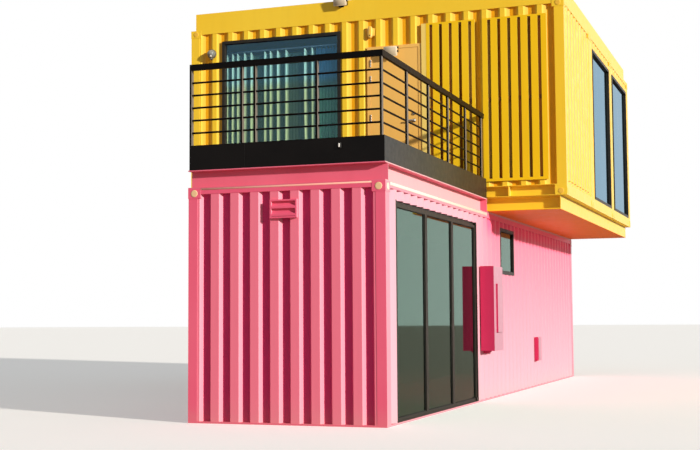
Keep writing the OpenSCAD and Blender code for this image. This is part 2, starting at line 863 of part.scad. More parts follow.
// Space over z0 that all the posts and castings of the upper storey fill
module upper_post_space(z0) {
    for (k = [0 : upper_count - 1])
        post_space(ux0, ux1, upper_y(k), upper_y(k + 1), cast_l, cast_w, z0);
}

module upper_posts(k) {
    color(yellow) translate([0, 0, uz0])
        four_corners(ux0, ux1, upper_y(k), upper_y(k + 1))
            corner_post(post_l, post_w, cast_l, cast_w, cont_h, true);
}

module upper_posts_near() {
    upper_posts(0);
}

module upper_posts_middle() {
    upper_posts(1);
}

module upper_posts_far() {
    upper_posts(2);
}

// Top and bottom rails between the castings of the upper containers
module upper_rails() {
    side_l = upper_len - 2 * cast_l;
    end_l = cont_w - 2 * cast_w;
    rail_t = wall_in - post_set;
    top_z = uz1 - top_rail_h;
    color(yellow) {
        translate([ux0 + cast_l, uy0, uz0]) foot_rail(side_l);
        translate([ux1 - cast_l, uy1, uz0]) rotate([0, 0, 180]) foot_rail(side_l);
        translate([ux0 + cast_l, uy0 + post_set, top_z]) cube([side_l, rail_t, top_rail_h]);
        translate([ux0 + cast_l, uy1 - wall_in, top_z]) cube([side_l, rail_t, top_rail_h]);
        for (k = [1 : upper_count - 1])
            translate([ux0 + cast_l, upper_y(k) - wall_in / 2, top_z]) cube([side_l, wall_in, top_rail_h]);
        for (k = [0 : upper_count - 1], x = [ux0 + post_set, ux1 - wall_in]) {
            translate([x, upper_y(k) + cast_w, uz0]) cube([rail_t, end_l, foot_rail_h]);
            translate([x, upper_y(k) + cast_w, top_z]) cube([rail_t, end_l, top_rail_h]);
        }
    }
}

upper_wall_z0 = uz0 + foot_rail_h;
upper_wall_z1 = uz1 - top_rail_h;
upper_wall_h = upper_wall_z1 - upper_wall_z0;
front_win_x0 = ux0 + front_win_x;
front_win_x1 = front_win_x0 + front_win_w;
win_top = uz1 - win_drop;
front_win_z0 = floor_top + front_win_z;
door_x0 = ux0 + door_x;
door_x1 = door_x0 + door_w;
door_top = floor_top + door_h;
tall_jamb_x1 = door_x1 + rebate_w + tall_jamb_w;

// Piece of the upper front wall between two places and two heights
module front_piece(x0, x1, z0, z1) {
    intersection() {
        translate([ux0 + post_l, uy0 + panel_set, upper_wall_z0])
            shifted_panel(upper_len - 2 * post_l, upper_wall_h, front_shift);
        box([x0, uy0 - cut, z0], [x1, uy0 + wall_in + cut, z1]);
    }
}

module upper_front_wall() {
    color(yellow) difference() {
        union() {
            front_piece(ux0, front_win_x0, uz0, uz1);
            front_piece(front_win_x0 + butt, front_win_x1 - butt, win_top, uz1);
            front_piece(front_win_x0 + butt, front_win_x1 - butt, uz0, front_win_z0);
            front_piece(front_win_x1, door_x0, uz0, uz1);
            front_piece(door_x0 + butt, door_x1 - butt, door_top, uz1);
            front_piece(door_x1, tall_jamb_x1 - butt, win_top, uz1);
            front_piece(tall_jamb_x1, ux1, uz0, uz1);
        }
        upper_post_space(uz1 - cast_h);
    }
}

module upper_back_wall() {
    color(yellow) difference() {
        translate([ux1 - post_l, uy1 - panel_set, upper_wall_z0]) rotate([0, 0, 180])
            side_panel(upper_len - 2 * post_l, upper_wall_h);
        upper_post_space(uz1 - cast_h);
    }
}

win_margin = (cont_w - end_win_w) / 2;

// Near edge of the window in the end wall of container k
function win_y(k) = upper_y(k) + win_margin + (k == 1 ? middle_shift : 0);

// Right end wall of container k, whole with its groove or in the pieces beside and over its window
module end_wall(k) {
    y0 = upper_y(k);
    module whole() {
        face_right(ux1 - panel_set, y0 + post_w, upper_wall_z0) end_panel(cont_w - 2 * post_w, upper_wall_h);
    }
    if (k == 0) {
        difference() {
            whole();
            box([ux1 - panel_set - groove_d, y0 + cast_w, upper_wall_z0 + groove_z],
                [2 * ux1, y0 + cont_w - cast_w, upper_wall_z0 + groove_z + groove_h]);
        }
    } else {
        intersection() {
            whole();
            union() {
                box([0, y0, uz0], [2 * ux1, win_y(k), uz1]);
                box([0, win_y(k) + end_win_w, uz0], [2 * ux1, y0 + cont_w, uz1]);
                box([0, win_y(k) + butt, win_top], [2 * ux1, win_y(k) + end_win_w - butt, uz1]);
            }
        }
    }
}

// Puts its child, made for the right ends, at the left ends too
module both_ends() {
    children();
    translate([ux0 + ux1, 0, 0]) mirror([1, 0, 0]) children();
}

module upper_end_walls() {
    color(yellow) difference() {
        both_ends() for (k = [0 : upper_count - 1]) end_wall(k);
        upper_post_space(uz1 - cast_h);
    }
}

win_x = ux1 - panel_set + win_proud - win_t;
win_h = win_top - upper_wall_z0;

module end_window_frames() {
    color(dark_grey) both_ends() for (k = [1 : upper_count - 1])
        translate([win_x, win_y(k), upper_wall_z0])
            frame_yz(end_win_w, win_h, win_bar, win_bar, win_bar, win_t);
}

module end_window_glass() {
    color(glass_blue, 0.5) both_ends() for (k = [1 : upper_count - 1])
        translate([win_x + (win_t - glass_t) / 2, win_y(k) + win_bar, upper_wall_z0 + win_bar])
            cube([glass_t, end_win_w - 2 * win_bar, win_h - 2 * win_bar]);
}

module front_window_frame() {
    color(dark_grey) translate([front_win_x0, uy0 + panel_set - win_proud, front_win_z0])
        frame_xz(front_win_w, win_top - front_win_z0, win_bar, win_bar, win_bar, win_t);
}

module front_window_glass() {
    y0 = uy0 + panel_set - win_proud + (win_t - glass_t) / 2;
    color(glass_blue, 0.5)
        translate([front_win_x0 + win_bar, y0, front_win_z0 + win_bar])
            cube([front_win_w - 2 * win_bar, glass_t, win_top - front_win_z0 - 2 * win_bar]);
}

// Door leaf with its lever, lock and four hinges
module upper_door() {
    w = door_w - 2 * door_bar - 2 * door_gap;
    h = door_h - door_bar - 2 * door_gap;
    handle_x = w - 70;
    knuckle_y = -win_proud - 4;
    knuckle_r = 9;
    arm_l = 120;
    arm_h = 20;
    arm_t = 14;
    arm_off = 46;
    lock_up = 105;
    hinges = [250, 1060, 1660, 1910];
    color(peach) translate([door_x0 + door_bar + door_gap, uy0 + panel_set, floor_top + door_gap]) {
        cube([w, door_t, h]);
        translate([handle_x, 0, lever_z]) rotate([90, 0, 0]) {
            cylinder(r = 26, h = 10);
            cylinder(r = 9, h = arm_off);
        }
        translate([handle_x - arm_l + arm_h / 2, -arm_off, lever_z - arm_h / 2]) cube([arm_l, arm_t, arm_h]);
        translate([handle_x, 0, lever_z + lock_up]) rotate([90, 0, 0]) cylinder(r = 22, h = 12);
        for (z = hinges) {
            box([-door_gap, knuckle_y, z], [knuckle_r + 5, 0, z + hinge_h]);
            translate([5, knuckle_y, z]) cylinder(r = knuckle_r, h = hinge_h);
        }
    }
}

// Door frame and the tall jamb beside it, which stands proud behind a narrow rebate
module upper_door_frame() {
    y0 = uy0 + panel_set;
    color(peach) {
        translate([door_x0, y0 - win_proud, floor_top])
            frame_xz(door_w, door_h, door_bar, door_bar, -cut, win_t);
        box([door_x1, y0, floor_top], [tall_jamb_x1, y0 - win_proud + win_t, win_top]);
        box([door_x1 + rebate_w, y0 - tall_jamb_d, floor_top], [tall_jamb_x1, y0, win_top]);
    }
}

// Screen of width w with n slots between its slats, fixed on three rails
module slat_screen(x, w, n) {
    z0 = floor_top + screen_z;
    h = win_top - z0;
    pitch = slat_w + slat_gap;
    edge = (w - n * pitch + slat_w) / 2;
    translate([x, screen_y, z0]) {
        difference() {
            cube([w, slat_t, h]);
            for (i = [0 : n - 1])
                box([edge + i * pitch, -cut, slat_foot],
                    [edge + i * pitch + slat_gap, slat_t + cut, h - slat_head]);
        }
        for (z = [0, (h - slat_rail_h) / 2, h - slat_rail_h])
            translate([0, slat_t, z]) cube([w, slat_back, slat_rail_h]);
    }
}

// The left screen starts at the tall jamb
module slat_screens() {
    color(yellow) {
        slat_screen(tall_jamb_x1 + butt, screen_a_w, screen_a_n);
        slat_screen(tall_jamb_x1 + butt + screen_a_w + screen_gap, screen_b_w, screen_b_n);
    }
}

// Roof

// Ribbed roof panels, each within the rails of its own container
module upper_roof() {
    x0 = ux0 + wall_in;
    l = upper_len - 2 * wall_in;
    z0 = uz1 - roof_drop - roof_t - roof_rib_h;
    n = floor(l / roof_pitch);
    e = (l - n * roof_pitch) / 2;
    run = roof_pitch / 4;
    profile = concat([[0, 0], [0, roof_t]],
        [for (i = [0 : n - 1], p = [[0.5, 0], [1, 1], [2, 1], [2.5, 0]])
            [e + i * roof_pitch + p[0] * run, roof_t + p[1] * roof_rib_h]],
        [[l, roof_t], [l, 0]]);
    color(yellow) difference() {
        for (k = [0 : upper_count - 1]) {
            y0 = k == 0 ? uy0 + wall_in : upper_y(k) + wall_in / 2;
            y1 = k == upper_count - 1 ? uy1 - wall_in : upper_y(k + 1) - wall_in / 2;
            translate([x0, y1, z0]) rotate([90, 0, 0]) linear_extrude(y1 - y0) polygon(profile);
        }
        upper_post_space(-cut);
    }
}

module roof_parapet() {
    side_l = upper_count * cont_w - 2 * parapet_in;
    color(yellow) translate([0, 0, uz1]) {
        for (y = [uy0 + post_set, uy1 - post_set - parapet_t])
            translate([ux0 + parapet_in, y, 0]) cube([upper_len - 2 * parapet_in, parapet_t, parapet_h]);
        for (x = [ux0 + parapet_side_in, ux1 - parapet_side_in - parapet_t])
            translate([x, uy0 + parapet_in, 0]) cube([parapet_t, side_l, parapet_h]);
    }
}

// Lamps

// Flood lamp on a bracket whose fixing face is at the origin, facing -Y, its top lifted above the bracket
module flood_lamp(lift) {
    arm_t = 6;
    foot_h = 44;
    translate([-flood_l / 2, -flood_off - flood_d, lift - flood_h]) cube([flood_l, flood_d, flood_h]);
    box([-foot_h, -arm_t, -foot_h], [foot_h, 0, arm_t]);
    box([-foot_h / 2, -flood_off - flood_d / 2, 0], [foot_h / 2, 0, arm_t]);
}

module outside_lamps() {
    y0 = uy0 + panel_set;
    door_lamp_in = 30;
    high_lamp_in = 60;
    fitting = [40, 30, 70];
    back_rim = 30;
    back_t = 8;
    bow = oval_h - oval_w;
    color("#D8D8D4") {
        translate([ux0 + globe_x, y0, uz1 - globe_drop]) {
            rotate([90, 0, 0]) cylinder(d = globe_d, h = globe_base);
            intersection() {
                translate([0, -globe_base, 0]) sphere(d = globe_d);
                translate([-globe_d, -2 * globe_d, -globe_d]) cube(2 * globe_d);
            }
        }
        translate([ux0 + flood_x, y0 - win_proud, door_top - door_lamp_in]) flood_lamp(0);
        translate([ux0 + high_lamp_x, uy0 + post_set, uz1 + parapet_h - high_lamp_in])
            flood_lamp(high_lamp_lift);
        translate([fitting_x - gx, -gy + fascia_set - fitting[1], terrace_z0 + fitting_z]) cube(fitting);
    }
    color(yellow) translate([ux0 + oval_x, y0, door_top + oval_z + oval_w / 2]) {
        translate([-oval_w / 2, -oval_d, 0]) cube([oval_w, oval_d, bow]);
        for (z = [0, bow])
            translate([0, 0, z]) rotate([90, 0, 0]) cylinder(d = oval_w, h = oval_d);
        translate([-oval_w / 2 - back_rim, -back_t, 0]) cube([oval_w + 2 * back_rim, back_t, bow]);
    }
}

ground_floor();
ground_sill();
ground_corner_posts();
ground_top_rails();
ground_front_wall();
ground_left_wall();
ground_back_wall();
ground_right_wall_front();
ground_right_wall_over();
ground_right_wall_rear();
ground_roof();
front_vent();
storefront_frame();
storefront_leaves();
storefront_glass();
small_window_frame();
small_window_glass();
wall_cabinet();
meter_box();
terrace_beams();
terrace_deck();
terrace_fascia();
railing_front();
railing_right();
upper_base_beams();
upper_soffits();
upper_floor();
upper_posts_near();
upper_posts_middle();
upper_posts_far();
upper_rails();
upper_front_wall();
upper_back_wall();
upper_end_walls();
end_window_frames();
end_window_glass();
front_window_frame();
front_window_glass();
upper_door();
upper_door_frame();
slat_screens();
upper_roof();
roof_parapet();
outside_lamps();
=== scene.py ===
"""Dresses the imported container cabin: paint, glass, curtains, deck, lamps and small fittings.

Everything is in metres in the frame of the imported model. The sizes of patterns are in millimetres.
"""

import json
from functools import partial

import bpy
import numpy as np
from bpy.props import FloatProperty, FloatVectorProperty, IntProperty, PointerProperty
from mathutils import Matrix, Vector

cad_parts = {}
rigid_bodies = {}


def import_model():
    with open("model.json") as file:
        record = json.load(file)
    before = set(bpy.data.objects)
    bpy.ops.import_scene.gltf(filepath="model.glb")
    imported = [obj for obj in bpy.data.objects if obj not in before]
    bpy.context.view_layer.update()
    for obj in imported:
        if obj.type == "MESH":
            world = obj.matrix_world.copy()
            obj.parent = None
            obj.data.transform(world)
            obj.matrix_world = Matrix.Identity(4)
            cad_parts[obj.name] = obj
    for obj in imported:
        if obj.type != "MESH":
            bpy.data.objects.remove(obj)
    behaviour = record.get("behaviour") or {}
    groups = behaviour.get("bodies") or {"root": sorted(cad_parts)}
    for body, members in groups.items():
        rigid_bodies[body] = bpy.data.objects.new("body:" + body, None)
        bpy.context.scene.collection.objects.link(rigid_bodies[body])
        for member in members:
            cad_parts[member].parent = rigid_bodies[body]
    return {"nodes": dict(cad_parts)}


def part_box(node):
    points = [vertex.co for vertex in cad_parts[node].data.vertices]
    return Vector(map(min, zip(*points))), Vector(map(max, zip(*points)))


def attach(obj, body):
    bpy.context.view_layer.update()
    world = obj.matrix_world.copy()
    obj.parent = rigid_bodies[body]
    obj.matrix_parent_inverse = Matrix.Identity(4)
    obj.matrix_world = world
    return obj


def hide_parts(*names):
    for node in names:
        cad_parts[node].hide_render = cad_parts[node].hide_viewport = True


bl_info = {
    "name": "Container Cabin Dressing",
    "version": (1, 0, 0),
    "blender": (4, 5, 0),
    "location": "View3D > Sidebar > Cabin",
    "description": "Adds the looks of a two-storey container cabin to its packed model",
    "category": "Object",
}

for old in list(bpy.data.objects):
    bpy.data.objects.remove(old)
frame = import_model()

MM = 0.001

# Places in the model that no single node's box gives, in metres.
GROUND_X = 1.219
GROUND_Y = 6.096
UPPER_X0 = -3.657
UPPER_X1 = 2.401
UPPER_Y0 = -1.218
UPPER_Y1 = 6.096
UNIT_WIDTH = 2.438
FLOOR_TOP = 3.134
LINING = 0.1075
# Where the wall lamp, the oval fixture and the door's hardware start along Y.
WALL_Y = -1.21
# Where the ridges of the left curtain's pleats stand along X.
GREEN_RIDGES = (-3.11, -3.005, -2.918, -2.793, -2.677, -2.438, -2.342, -2.216, -2.071, -1.75, -1.624)
# Sockets of a Mix node for colours: its factor, the two colours and the result.
MIX_FACTOR, MIX_UNDER, MIX_OVER, MIX_RESULT = 0, 6, 7, 2


def srgb(code):
    """Linear colour from a hex code of the sRGB colour."""
    value = np.array([int(code[i : i + 2], 16) for i in (1, 3, 5)]) / 255
    linear = np.where(value <= 0.04045, value / 12.92, ((value + 0.055) / 1.055) ** 2.4)
    return (*linear.tolist(), 1.0)


# Settings


def length(name, description, default, low, high):
    """A length that a user may change, in metres."""
    kind = {"subtype": "DISTANCE", "precision": 4}
    return FloatProperty(name=name, description=description, default=default, min=low, max=high, **kind)


def colour(name, description, code):
    """A colour that a user may change, given as a hex code."""
    return FloatVectorProperty(
        name=name, description=description, subtype="COLOR", size=4, min=0.0, max=1.0, default=srgb(code)
    )


class CabinSettings(bpy.types.PropertyGroup):
    """Sizes and main colours of the dressing."""

    plank_width: length("Plank width", "Width of a deck plank", 0.14, 0.08, 0.22)
    plank_gap: length("Plank gap", "Gap between two deck planks", 0.006, 0.002, 0.012)
    pleat_width: length("Pleat width", "Half width of a curtain pleat", 0.022, 0.015, 0.06)
    pleat_depth: length("Pleat depth", "Depth of a left curtain pleat", 0.064, 0.01, 0.09)
    gasket_width: length("Gasket width", "Width of the rubber strip round a pane", 0.009, 0.003, 0.02)
    cover_size: length("Cover size", "Diameter of the round covers on the castings", 0.084, 0.077, 0.1)
    lathe_steps: IntProperty(
        name="Lathe steps", description="Steps round a turned piece", default=48, min=12, max=128
    )
    # pink_wall_groove_shade and yellow_wall_groove_shade are the colours left in the corrugation's grooves,
    # deepened there as painted shade.
    pink_wall_groove_shade: colour("Pink walls", "Paint of the ground container's front, left and back walls", "#D3306E")
    pink_side: colour("Pink side wall", "Paint of the ground container's right side", "#D83A66")
    pink_frame: colour("Pink frame", "Paint of the ground container's posts, rails and roof", "#EE5E80")
    yellow_wall_groove_shade: colour("Yellow long walls", "Paint of the upper storey's long walls", "#FAAE0A")
    yellow_frame: colour("Yellow frame", "Paint of the upper storey's posts, rails and roof", "#FFD336")
    slat_paint: colour("Slat screens", "Paint of the slat screens", "#FFCD14")
    door_paint: colour("Upper door", "Paint of the upper door", "#FCC566")
    frame_coat: colour("Dark frames", "Powder coat of the windows' and the storefront's frames", "#191813")
    deck_timber: colour("Deck timber", "Light grain of the deck planks", "#8C6E50")
    # curtain_linen is the left curtain's pale colour on its ridges, painted light against the painted shade
    # of its valleys
    curtain_linen: colour("Curtain linen", "Left curtain on the ridges of its pleats", "#D2E2C0")


def settings():
    """The settings that the panel shows."""
    return bpy.context.scene.cabin


def metres(name):
    """A length from the settings as it was typed, because a property keeps only about seven digits."""
    return round(getattr(settings(), name), 6)


# Meshes


def build_mesh(name, points, quads=(), tris=(), smooth=False):
    """Object from an (n, 3) array of points and arrays of quads and triangles."""
    points = np.asarray(points, np.float32).reshape(-1, 3)
    quads = np.asarray(quads, np.int32).reshape(-1, 4)
    tris = np.asarray(tris, np.int32).reshape(-1, 3)
    if not len(points) or not len(quads) + len(tris):
        raise ValueError(f"{name} has no faces")
    mesh = bpy.data.meshes.new(name)
    mesh.vertices.add(len(points))
    mesh.vertices.foreach_set("co", points.ravel())
    loops = np.concatenate([quads.ravel(), tris.ravel()])
    mesh.loops.add(len(loops))
    mesh.loops.foreach_set("vertex_index", loops)
    sides = np.concatenate([np.full(len(quads), 4), np.full(len(tris), 3)])
    mesh.polygons.add(len(sides))
    mesh.polygons.foreach_set("loop_start", np.concatenate([[0], np.cumsum(sides)[:-1]]))
    mesh.update(calc_edges=True)
    if mesh.validate():
        raise ValueError(f"{name} has faces that had to be removed")
    if smooth:
        mesh.shade_smooth()
    made = bpy.data.objects.new(name, mesh)
    bpy.context.scene.collection.objects.link(made)
    return made


def box_template():
    """Signs of the corners, quads and triangles of a box whose 12 edges are bevelled.

    Corner s = (sx, sy, sz) has three points, one in each face that meets there. The point of
    kind k keeps its full half size along axis k and loses the bevel along the other two.
    """
    signs = np.array([(x, y, z) for x in (-1, 1) for y in (-1, 1) for z in (-1, 1)], float)
    index = {tuple(s): i for i, s in enumerate(signs.astype(int))}

    def at(sign, kind):
        return 3 * index[tuple(sign)] + kind

    quads, tris = [], []
    for k in range(3):
        a, b = (k + 1) % 3, (k + 2) % 3
        for side in (-1, 1):
            ring = []
            for sa, sb in ((-1, -1), (1, -1), (1, 1), (-1, 1)):
                sign = [0, 0, 0]
                sign[k], sign[a], sign[b] = side, sa, sb
                ring.append(at(sign, k))
            quads.append(ring if side > 0 else ring[::-1])
        for sa in (-1, 1):
            for sb in (-1, 1):
                low, high = [0, 0, 0], [0, 0, 0]
                low[k], high[k] = -1, 1
                low[a] = high[a] = sa
                low[b] = high[b] = sb
                ring = [at(low, a), at(high, a), at(high, b), at(low, b)]
                quads.append(ring[::-1] if sa * sb > 0 else ring)
    for sign in signs.astype(int):
        ring = [at(sign, 0), at(sign, 1), at(sign, 2)]
        tris.append(ring if np.prod(sign) > 0 else ring[::-1])
    return signs, np.array(quads), np.array(tris)


def bevelled_boxes(lows, highs, bevel):
    """Points, quads and triangles of bevelled boxes, given by their lowest and highest corners."""
    signs, quads, tris = box_template()
    lows = np.atleast_2d(np.asarray(lows, float))
    highs = np.atleast_2d(np.asarray(highs, float))
    centre, half = (lows + highs) / 2, (highs - lows) / 2
    bevel = np.minimum(bevel, half.min(axis=1) * 0.45)
    kept = np.eye(3)
    # reach[i, c, k] is box i's half size at corner c for the point of kind k
    reach = half[:, None, None, :] - bevel[:, None, None, None] * (1 - kept)[None, None, :, :]
    points = centre[:, None, None, :] + signs[None, :, None, :] * reach
    shift = (np.arange(len(centre)) * 3 * len(signs))[:, None, None]
    return points.reshape(-1, 3), (quads[None] + shift).reshape(-1, 4), (tris[None] + shift).reshape(-1, 3)


def joined(*parts):
    """Several (points, quads, tris) parts as one."""
    points, quads, tris, count = [], [], [], 0
    for p, q, t in parts:
        points.append(np.asarray(p, float).reshape(-1, 3))
        quads.append(np.asarray(q, int).reshape(-1, 4) + count)
        tris.append(np.asarray(t, int).reshape(-1, 3) + count)
        count += len(points[-1])
    return np.concatenate(points), np.concatenate(quads), np.concatenate(tris)


def turned(profile, steps, stretch=0.0):
    """Surface of revolution about Z of a profile of (radius, height) points, closed at its ends.

    p(i, j) = (r_i cos t_j, r_i sin t_j + stretch sign(sin t_j), z_i), t_j = 2 pi (j + 0.5) / steps.
    A stretch over 0 draws the circle out along Y into two half circles with straight sides.
    Radii are over 0.
    """
    r, z = np.asarray(profile, float).T
    t = (np.arange(steps) + 0.5) * 2 * np.pi / steps
    along = np.outer(r, np.sin(t)) + stretch * np.sign(np.sin(t))
    ring = np.stack([np.outer(r, np.cos(t)), along, np.repeat(z[:, None], steps, 1)], -1)
    points = np.concatenate([ring.reshape(-1, 3), [[0, 0, z[0]], [0, 0, z[-1]]]])
    i, j = np.meshgrid(np.arange(len(r) - 1) * steps, np.arange(steps), indexing="ij")
    n = (j + 1) % steps
    quads = np.stack([i + j, i + n, i + steps + n, i + steps + j], -1).reshape(-1, 4)
    k = np.arange(steps)
    low = np.stack([np.full(steps, len(r) * steps), (k + 1) % steps, k], -1)
    top = (len(r) - 1) * steps
    high = np.stack([np.full(steps, len(r) * steps + 1), top + k, top + (k + 1) % steps], -1)
    return points, quads, np.concatenate([low, high])


def placed(part, axis, origin):
    """A part made along Z, turned so that Z runs along axis, and moved to origin.

    Each point p goes to R p + origin, with R the shortest turn from Z to axis.
    """
    points, quads, tris = part
    turn = Vector((0, 0, 1)).rotation_difference(Vector(axis)).to_matrix()
    return points @ np.array(turn).T + np.asarray(origin, float), quads, tris


def tilted(part, degrees, pivot):
    """A part turned about the X direction through a pivot. Its front dips for a positive angle.

    Seen from the pivot, (y, z) goes to (y cos a - z sin a, y sin a + z cos a).
    """
    points, quads, tris = part
    c, s = np.cos(np.radians(degrees)), np.sin(np.radians(degrees))
    turn = np.array([[1, 0, 0], [0, c, -s], [0, s, c]])
    pivot = np.asarray(pivot, float)
    return (points - pivot) @ turn.T + pivot, quads, tris


def strips_round(plane, low, high, width, depth_low, depth_high):
    """Lowest and highest corners of four strips inside a rectangle, as gaskets lie round a pane.

    plane is the axis the rectangle faces along, low and high its corners on the other two axes.
    """
    (a0, b0), (a1, b1) = low, high
    flat = [
        ((a0, b0), (a1, b0 + width)),
        ((a0, b1 - width), (a1, b1)),
        ((a0, b0 + width), (a0 + width, b1 - width)),
        ((a1 - width, b0 + width), (a1, b1 - width)),
    ]
    lows = [np.insert(p, plane, depth_low) for p, q in flat]
    highs = [np.insert(q, plane, depth_high) for p, q in flat]
    return lows, highs


def finished(name, part, material, smooth=False, replaces=()):
    """Object from a part, with its material, riding on the body."""
    made = build_mesh(name, *part, smooth=smooth)
    made.data.materials.append(material)
    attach(made, "root")
    if replaces:
        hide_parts(*replaces)
    return made


# Materials


def add_node(tree, kind, inputs=(), output=0, **values):
    """Adds a shader node with its settings and links, and returns one of its outputs, or the node.

    inputs gives the sockets in order, or by name or number: a number, a hex colour, or another
    node's output.
    """
    made = tree.nodes.new("ShaderNode" + kind)
    for key, value in values.items():
        setattr(made, key, value)
    for key, value in inputs.items() if isinstance(inputs, dict) else enumerate(inputs):
        if isinstance(value, bpy.types.NodeSocket):
            tree.links.new(value, made.inputs[key])
        else:
            made.inputs[key].default_value = srgb(value) if isinstance(value, str) else value
    return made if output is None else made.outputs[output]


class Finish:
    """One material's nodes, whose patterns read Object coordinates in metres."""

    def __init__(self, name):
        self.material = bpy.data.materials.new(name)
        self.material.use_nodes = True
        self.material.node_tree.nodes.clear()
        self.add = partial(add_node, self.material.node_tree)
        self.place = self.add("TexCoord", output="Object")
        self.x, self.y, self.z = self.add("SeparateXYZ", (self.place,), None).outputs

    def pattern(self, size_mm, detail=3.0, spread=None, rough=0.55, stretch=None):
        """Clouds or grains about size_mm across.

        spread is the range of values that is drawn out to 0 and 1, or to two more numbers.
        stretch scales the place along each axis, so that a small number draws grains out.
        """
        place = self.place
        if stretch:
            place = self.add("Mapping", {"Vector": place, "Scale": stretch})
        scale = 1 / (size_mm * MM)
        grains = {"Vector": place, "Scale": scale, "Detail": detail, "Roughness": rough}
        value = self.add("TexNoise", grains)
        return self.add("MapRange", (value, *spread)) if spread else value

    def over(self, under, top, mask, share=1.0, blend="MIX"):
        """A colour with another laid over it where a mask says, as strongly as its share."""
        if share != 1.0:
            mask = self.product(mask, share)
        sockets = {MIX_FACTOR: mask, MIX_UNDER: under, MIX_OVER: top}
        return self.add("Mix", sockets, MIX_RESULT, data_type="RGBA", blend_type=blend)

    def product(self, *values):
        """Values multiplied together. Of masks, it is 1 only where every one is."""
        total, *rest = values
        for value in rest:
            total = self.add("Math", (total, value), operation="MULTIPLY")
        return total

    def rightness(self):
        """How far a face looks along +X, from -1 to 1."""
        normal = self.add("TexCoord", output="Normal")
        return self.add("SeparateXYZ", (normal,), "X")

    def facing_right(self):
        """0 on a face that looks to the front or the left, rising to 1 on one that looks along +X."""
        return self.add("MapRange", (self.rightness(), 0.3, 0.95))

    def outer(self, block):
        """1 on the corrugation's outer flats, falling to 0 in its grooves, for walls round a block."""
        x0, x1, y0, y1 = block
        sides = ((self.x, x0), (x1, self.x), (self.y, y0), (y1, self.y))
        depth, *rest = (self.add("Math", side, operation="SUBTRACT") for side in sides)
        for gap in rest:
            depth = self.add("Math", (depth, gap), operation="MINIMUM")
        return self.add("MapRange", (depth, 0.012, 0.03, 1.0, 0.0))

    def under_overhang(self):
        """1 high on the ground wall where the upper storey overhangs it, else 0."""
        high = self.add("MapRange", (self.z, 2.36, 2.56))
        return self.product(high, self.add("MapRange", (self.y, -1.4, -1.1)))

    def inside(self, low, high):
        """1 inside a box, else 0. With two coordinates a corner the box is open in height."""
        tests = []
        for place, a, b in zip((self.x, self.y, self.z), low, high):
            tests.append(self.add("Math", (place, a), operation="GREATER_THAN"))
            tests.append(self.add("Math", (place, b), operation="LESS_THAN"))
        return self.product(*tests)

    def surface(self, sockets, relief=()):
        """Ends the nodes with the surface, and returns the material.

        relief lists layers of height and depth in mm, the coarsest first.
        """
        normal = None
        for height, depth in relief:
            layer = {"Strength": 1.0, "Distance": depth * MM, "Height": height}
            if normal:
                layer["Normal"] = normal
            normal = self.add("Bump", layer)
        if normal:
            sockets |= {"Normal": normal}
        shader = self.add("BsdfPrincipled", sockets)
        self.add("OutputMaterial", {"Surface": shader}, None)
        return self.material


def painted_steel(
    name,
    base,
    faded,
    painted_sun_side,
    dusty=0.0,
    room=None,
    flats=None,
    foot=None,
    overhang_shade=None,
    shade_or_paint_boxes=(),
    rough=0.42,
):
    """Paint on sheet steel, faded in clouds, with soft dents, and painted light towards the sun.

    dusty is the height in metres up to which dust lies near the ground, and room the plan box
    of the room behind it, whose faces are the pale lining. flats is the plan box and the paler
    colour of the corrugation's outer flats; the grooves keep the deeper base colour, which is
    painted shade. bleached is the paler colour of faces that look along +X: painted light. On
    that side foot is the paler colour near the ground and in front of the overhang, and shelter
    the deeper one under the overhang: painted shade. shaded lists boxes that have another
    colour, as lowest corner, highest corner and colour.
    """
    m = Finish(name)
    shade = m.over(base, faded, m.pattern(1500, 2, (0.38, 0.66)))
    if flats:
        block, pale = flats
        # paler outer flats; the deeper base colour left in the grooves is painted shade
        shade = m.over(shade, pale, m.outer(block))
    # boxes of another colour, among them painted shade behind the slat screens
    for low, high, deep in shade_or_paint_boxes:
        shade = m.over(shade, deep, m.inside(low, high))
    # painted light: faces that look along +X, towards the sun, get a paler colour
    right = painted_sun_side
    if foot:
        high_near_overhang = m.product(m.add("MapRange", (m.z, 0.1, 2.4)), m.add("MapRange", (m.y, -2.3, -0.7)))
        right = m.over(foot, right, high_near_overhang)
    # painted shade: under the overhang the sun's side keeps a deeper colour
    if overhang_shade:
        right = m.over(right, overhang_shade, m.under_overhang())
    shade = m.over(shade, right, m.facing_right())
    streaks = m.pattern(90, 3, (0.5, 0.8), 0.6, stretch=(1, 1, 0.06))
    shade = m.over(shade, "#A8938A", streaks, 0.05, "MULTIPLY")
    speck = m.add("Math", (m.pattern(21, 4, rough=0.7), 0.77), operation="GREATER_THAN")
    shade = m.over(shade, "#7E5A4C", m.product(speck, m.pattern(700, 1, (0.5, 0.7))), 0.3)
    gloss = m.pattern(90, 3, (0.3, 0.7, rough - 0.06, rough + 0.08))
    if dusty:
        low = m.add("MapRange", (m.z, 0.0, dusty, 1.0, 0.0))
        dust = m.product(low, low, m.pattern(160, 4, (0.3, 0.7, 0.35, 1.0)))
        shade = m.over(shade, "#C9A898", dust, 0.3)
        gloss = m.add("Math", (dust, 0.3, gloss), operation="MULTIPLY_ADD")
    if room:
        mask = m.inside(*room)
        shade = m.over(shade, "#A9A59C", mask)
        gloss = m.add("Math", (gloss, m.product(mask, 0.75)), operation="MAXIMUM")
    sockets = {"Base Color": shade, "Roughness": gloss, "IOR": 1.5, "Specular IOR Level": 0.22}
    return m.surface(sockets, [(m.pattern(420, 2), 2.0), (m.pattern(7, 2), 0.05)])


def room_of(x0, x1, y0, y1):
    """Plan box of the room within a block, as its lowest and highest corner."""
    return (x0 + LINING, y0 + LINING), (x1 - LINING, y1 - LINING)


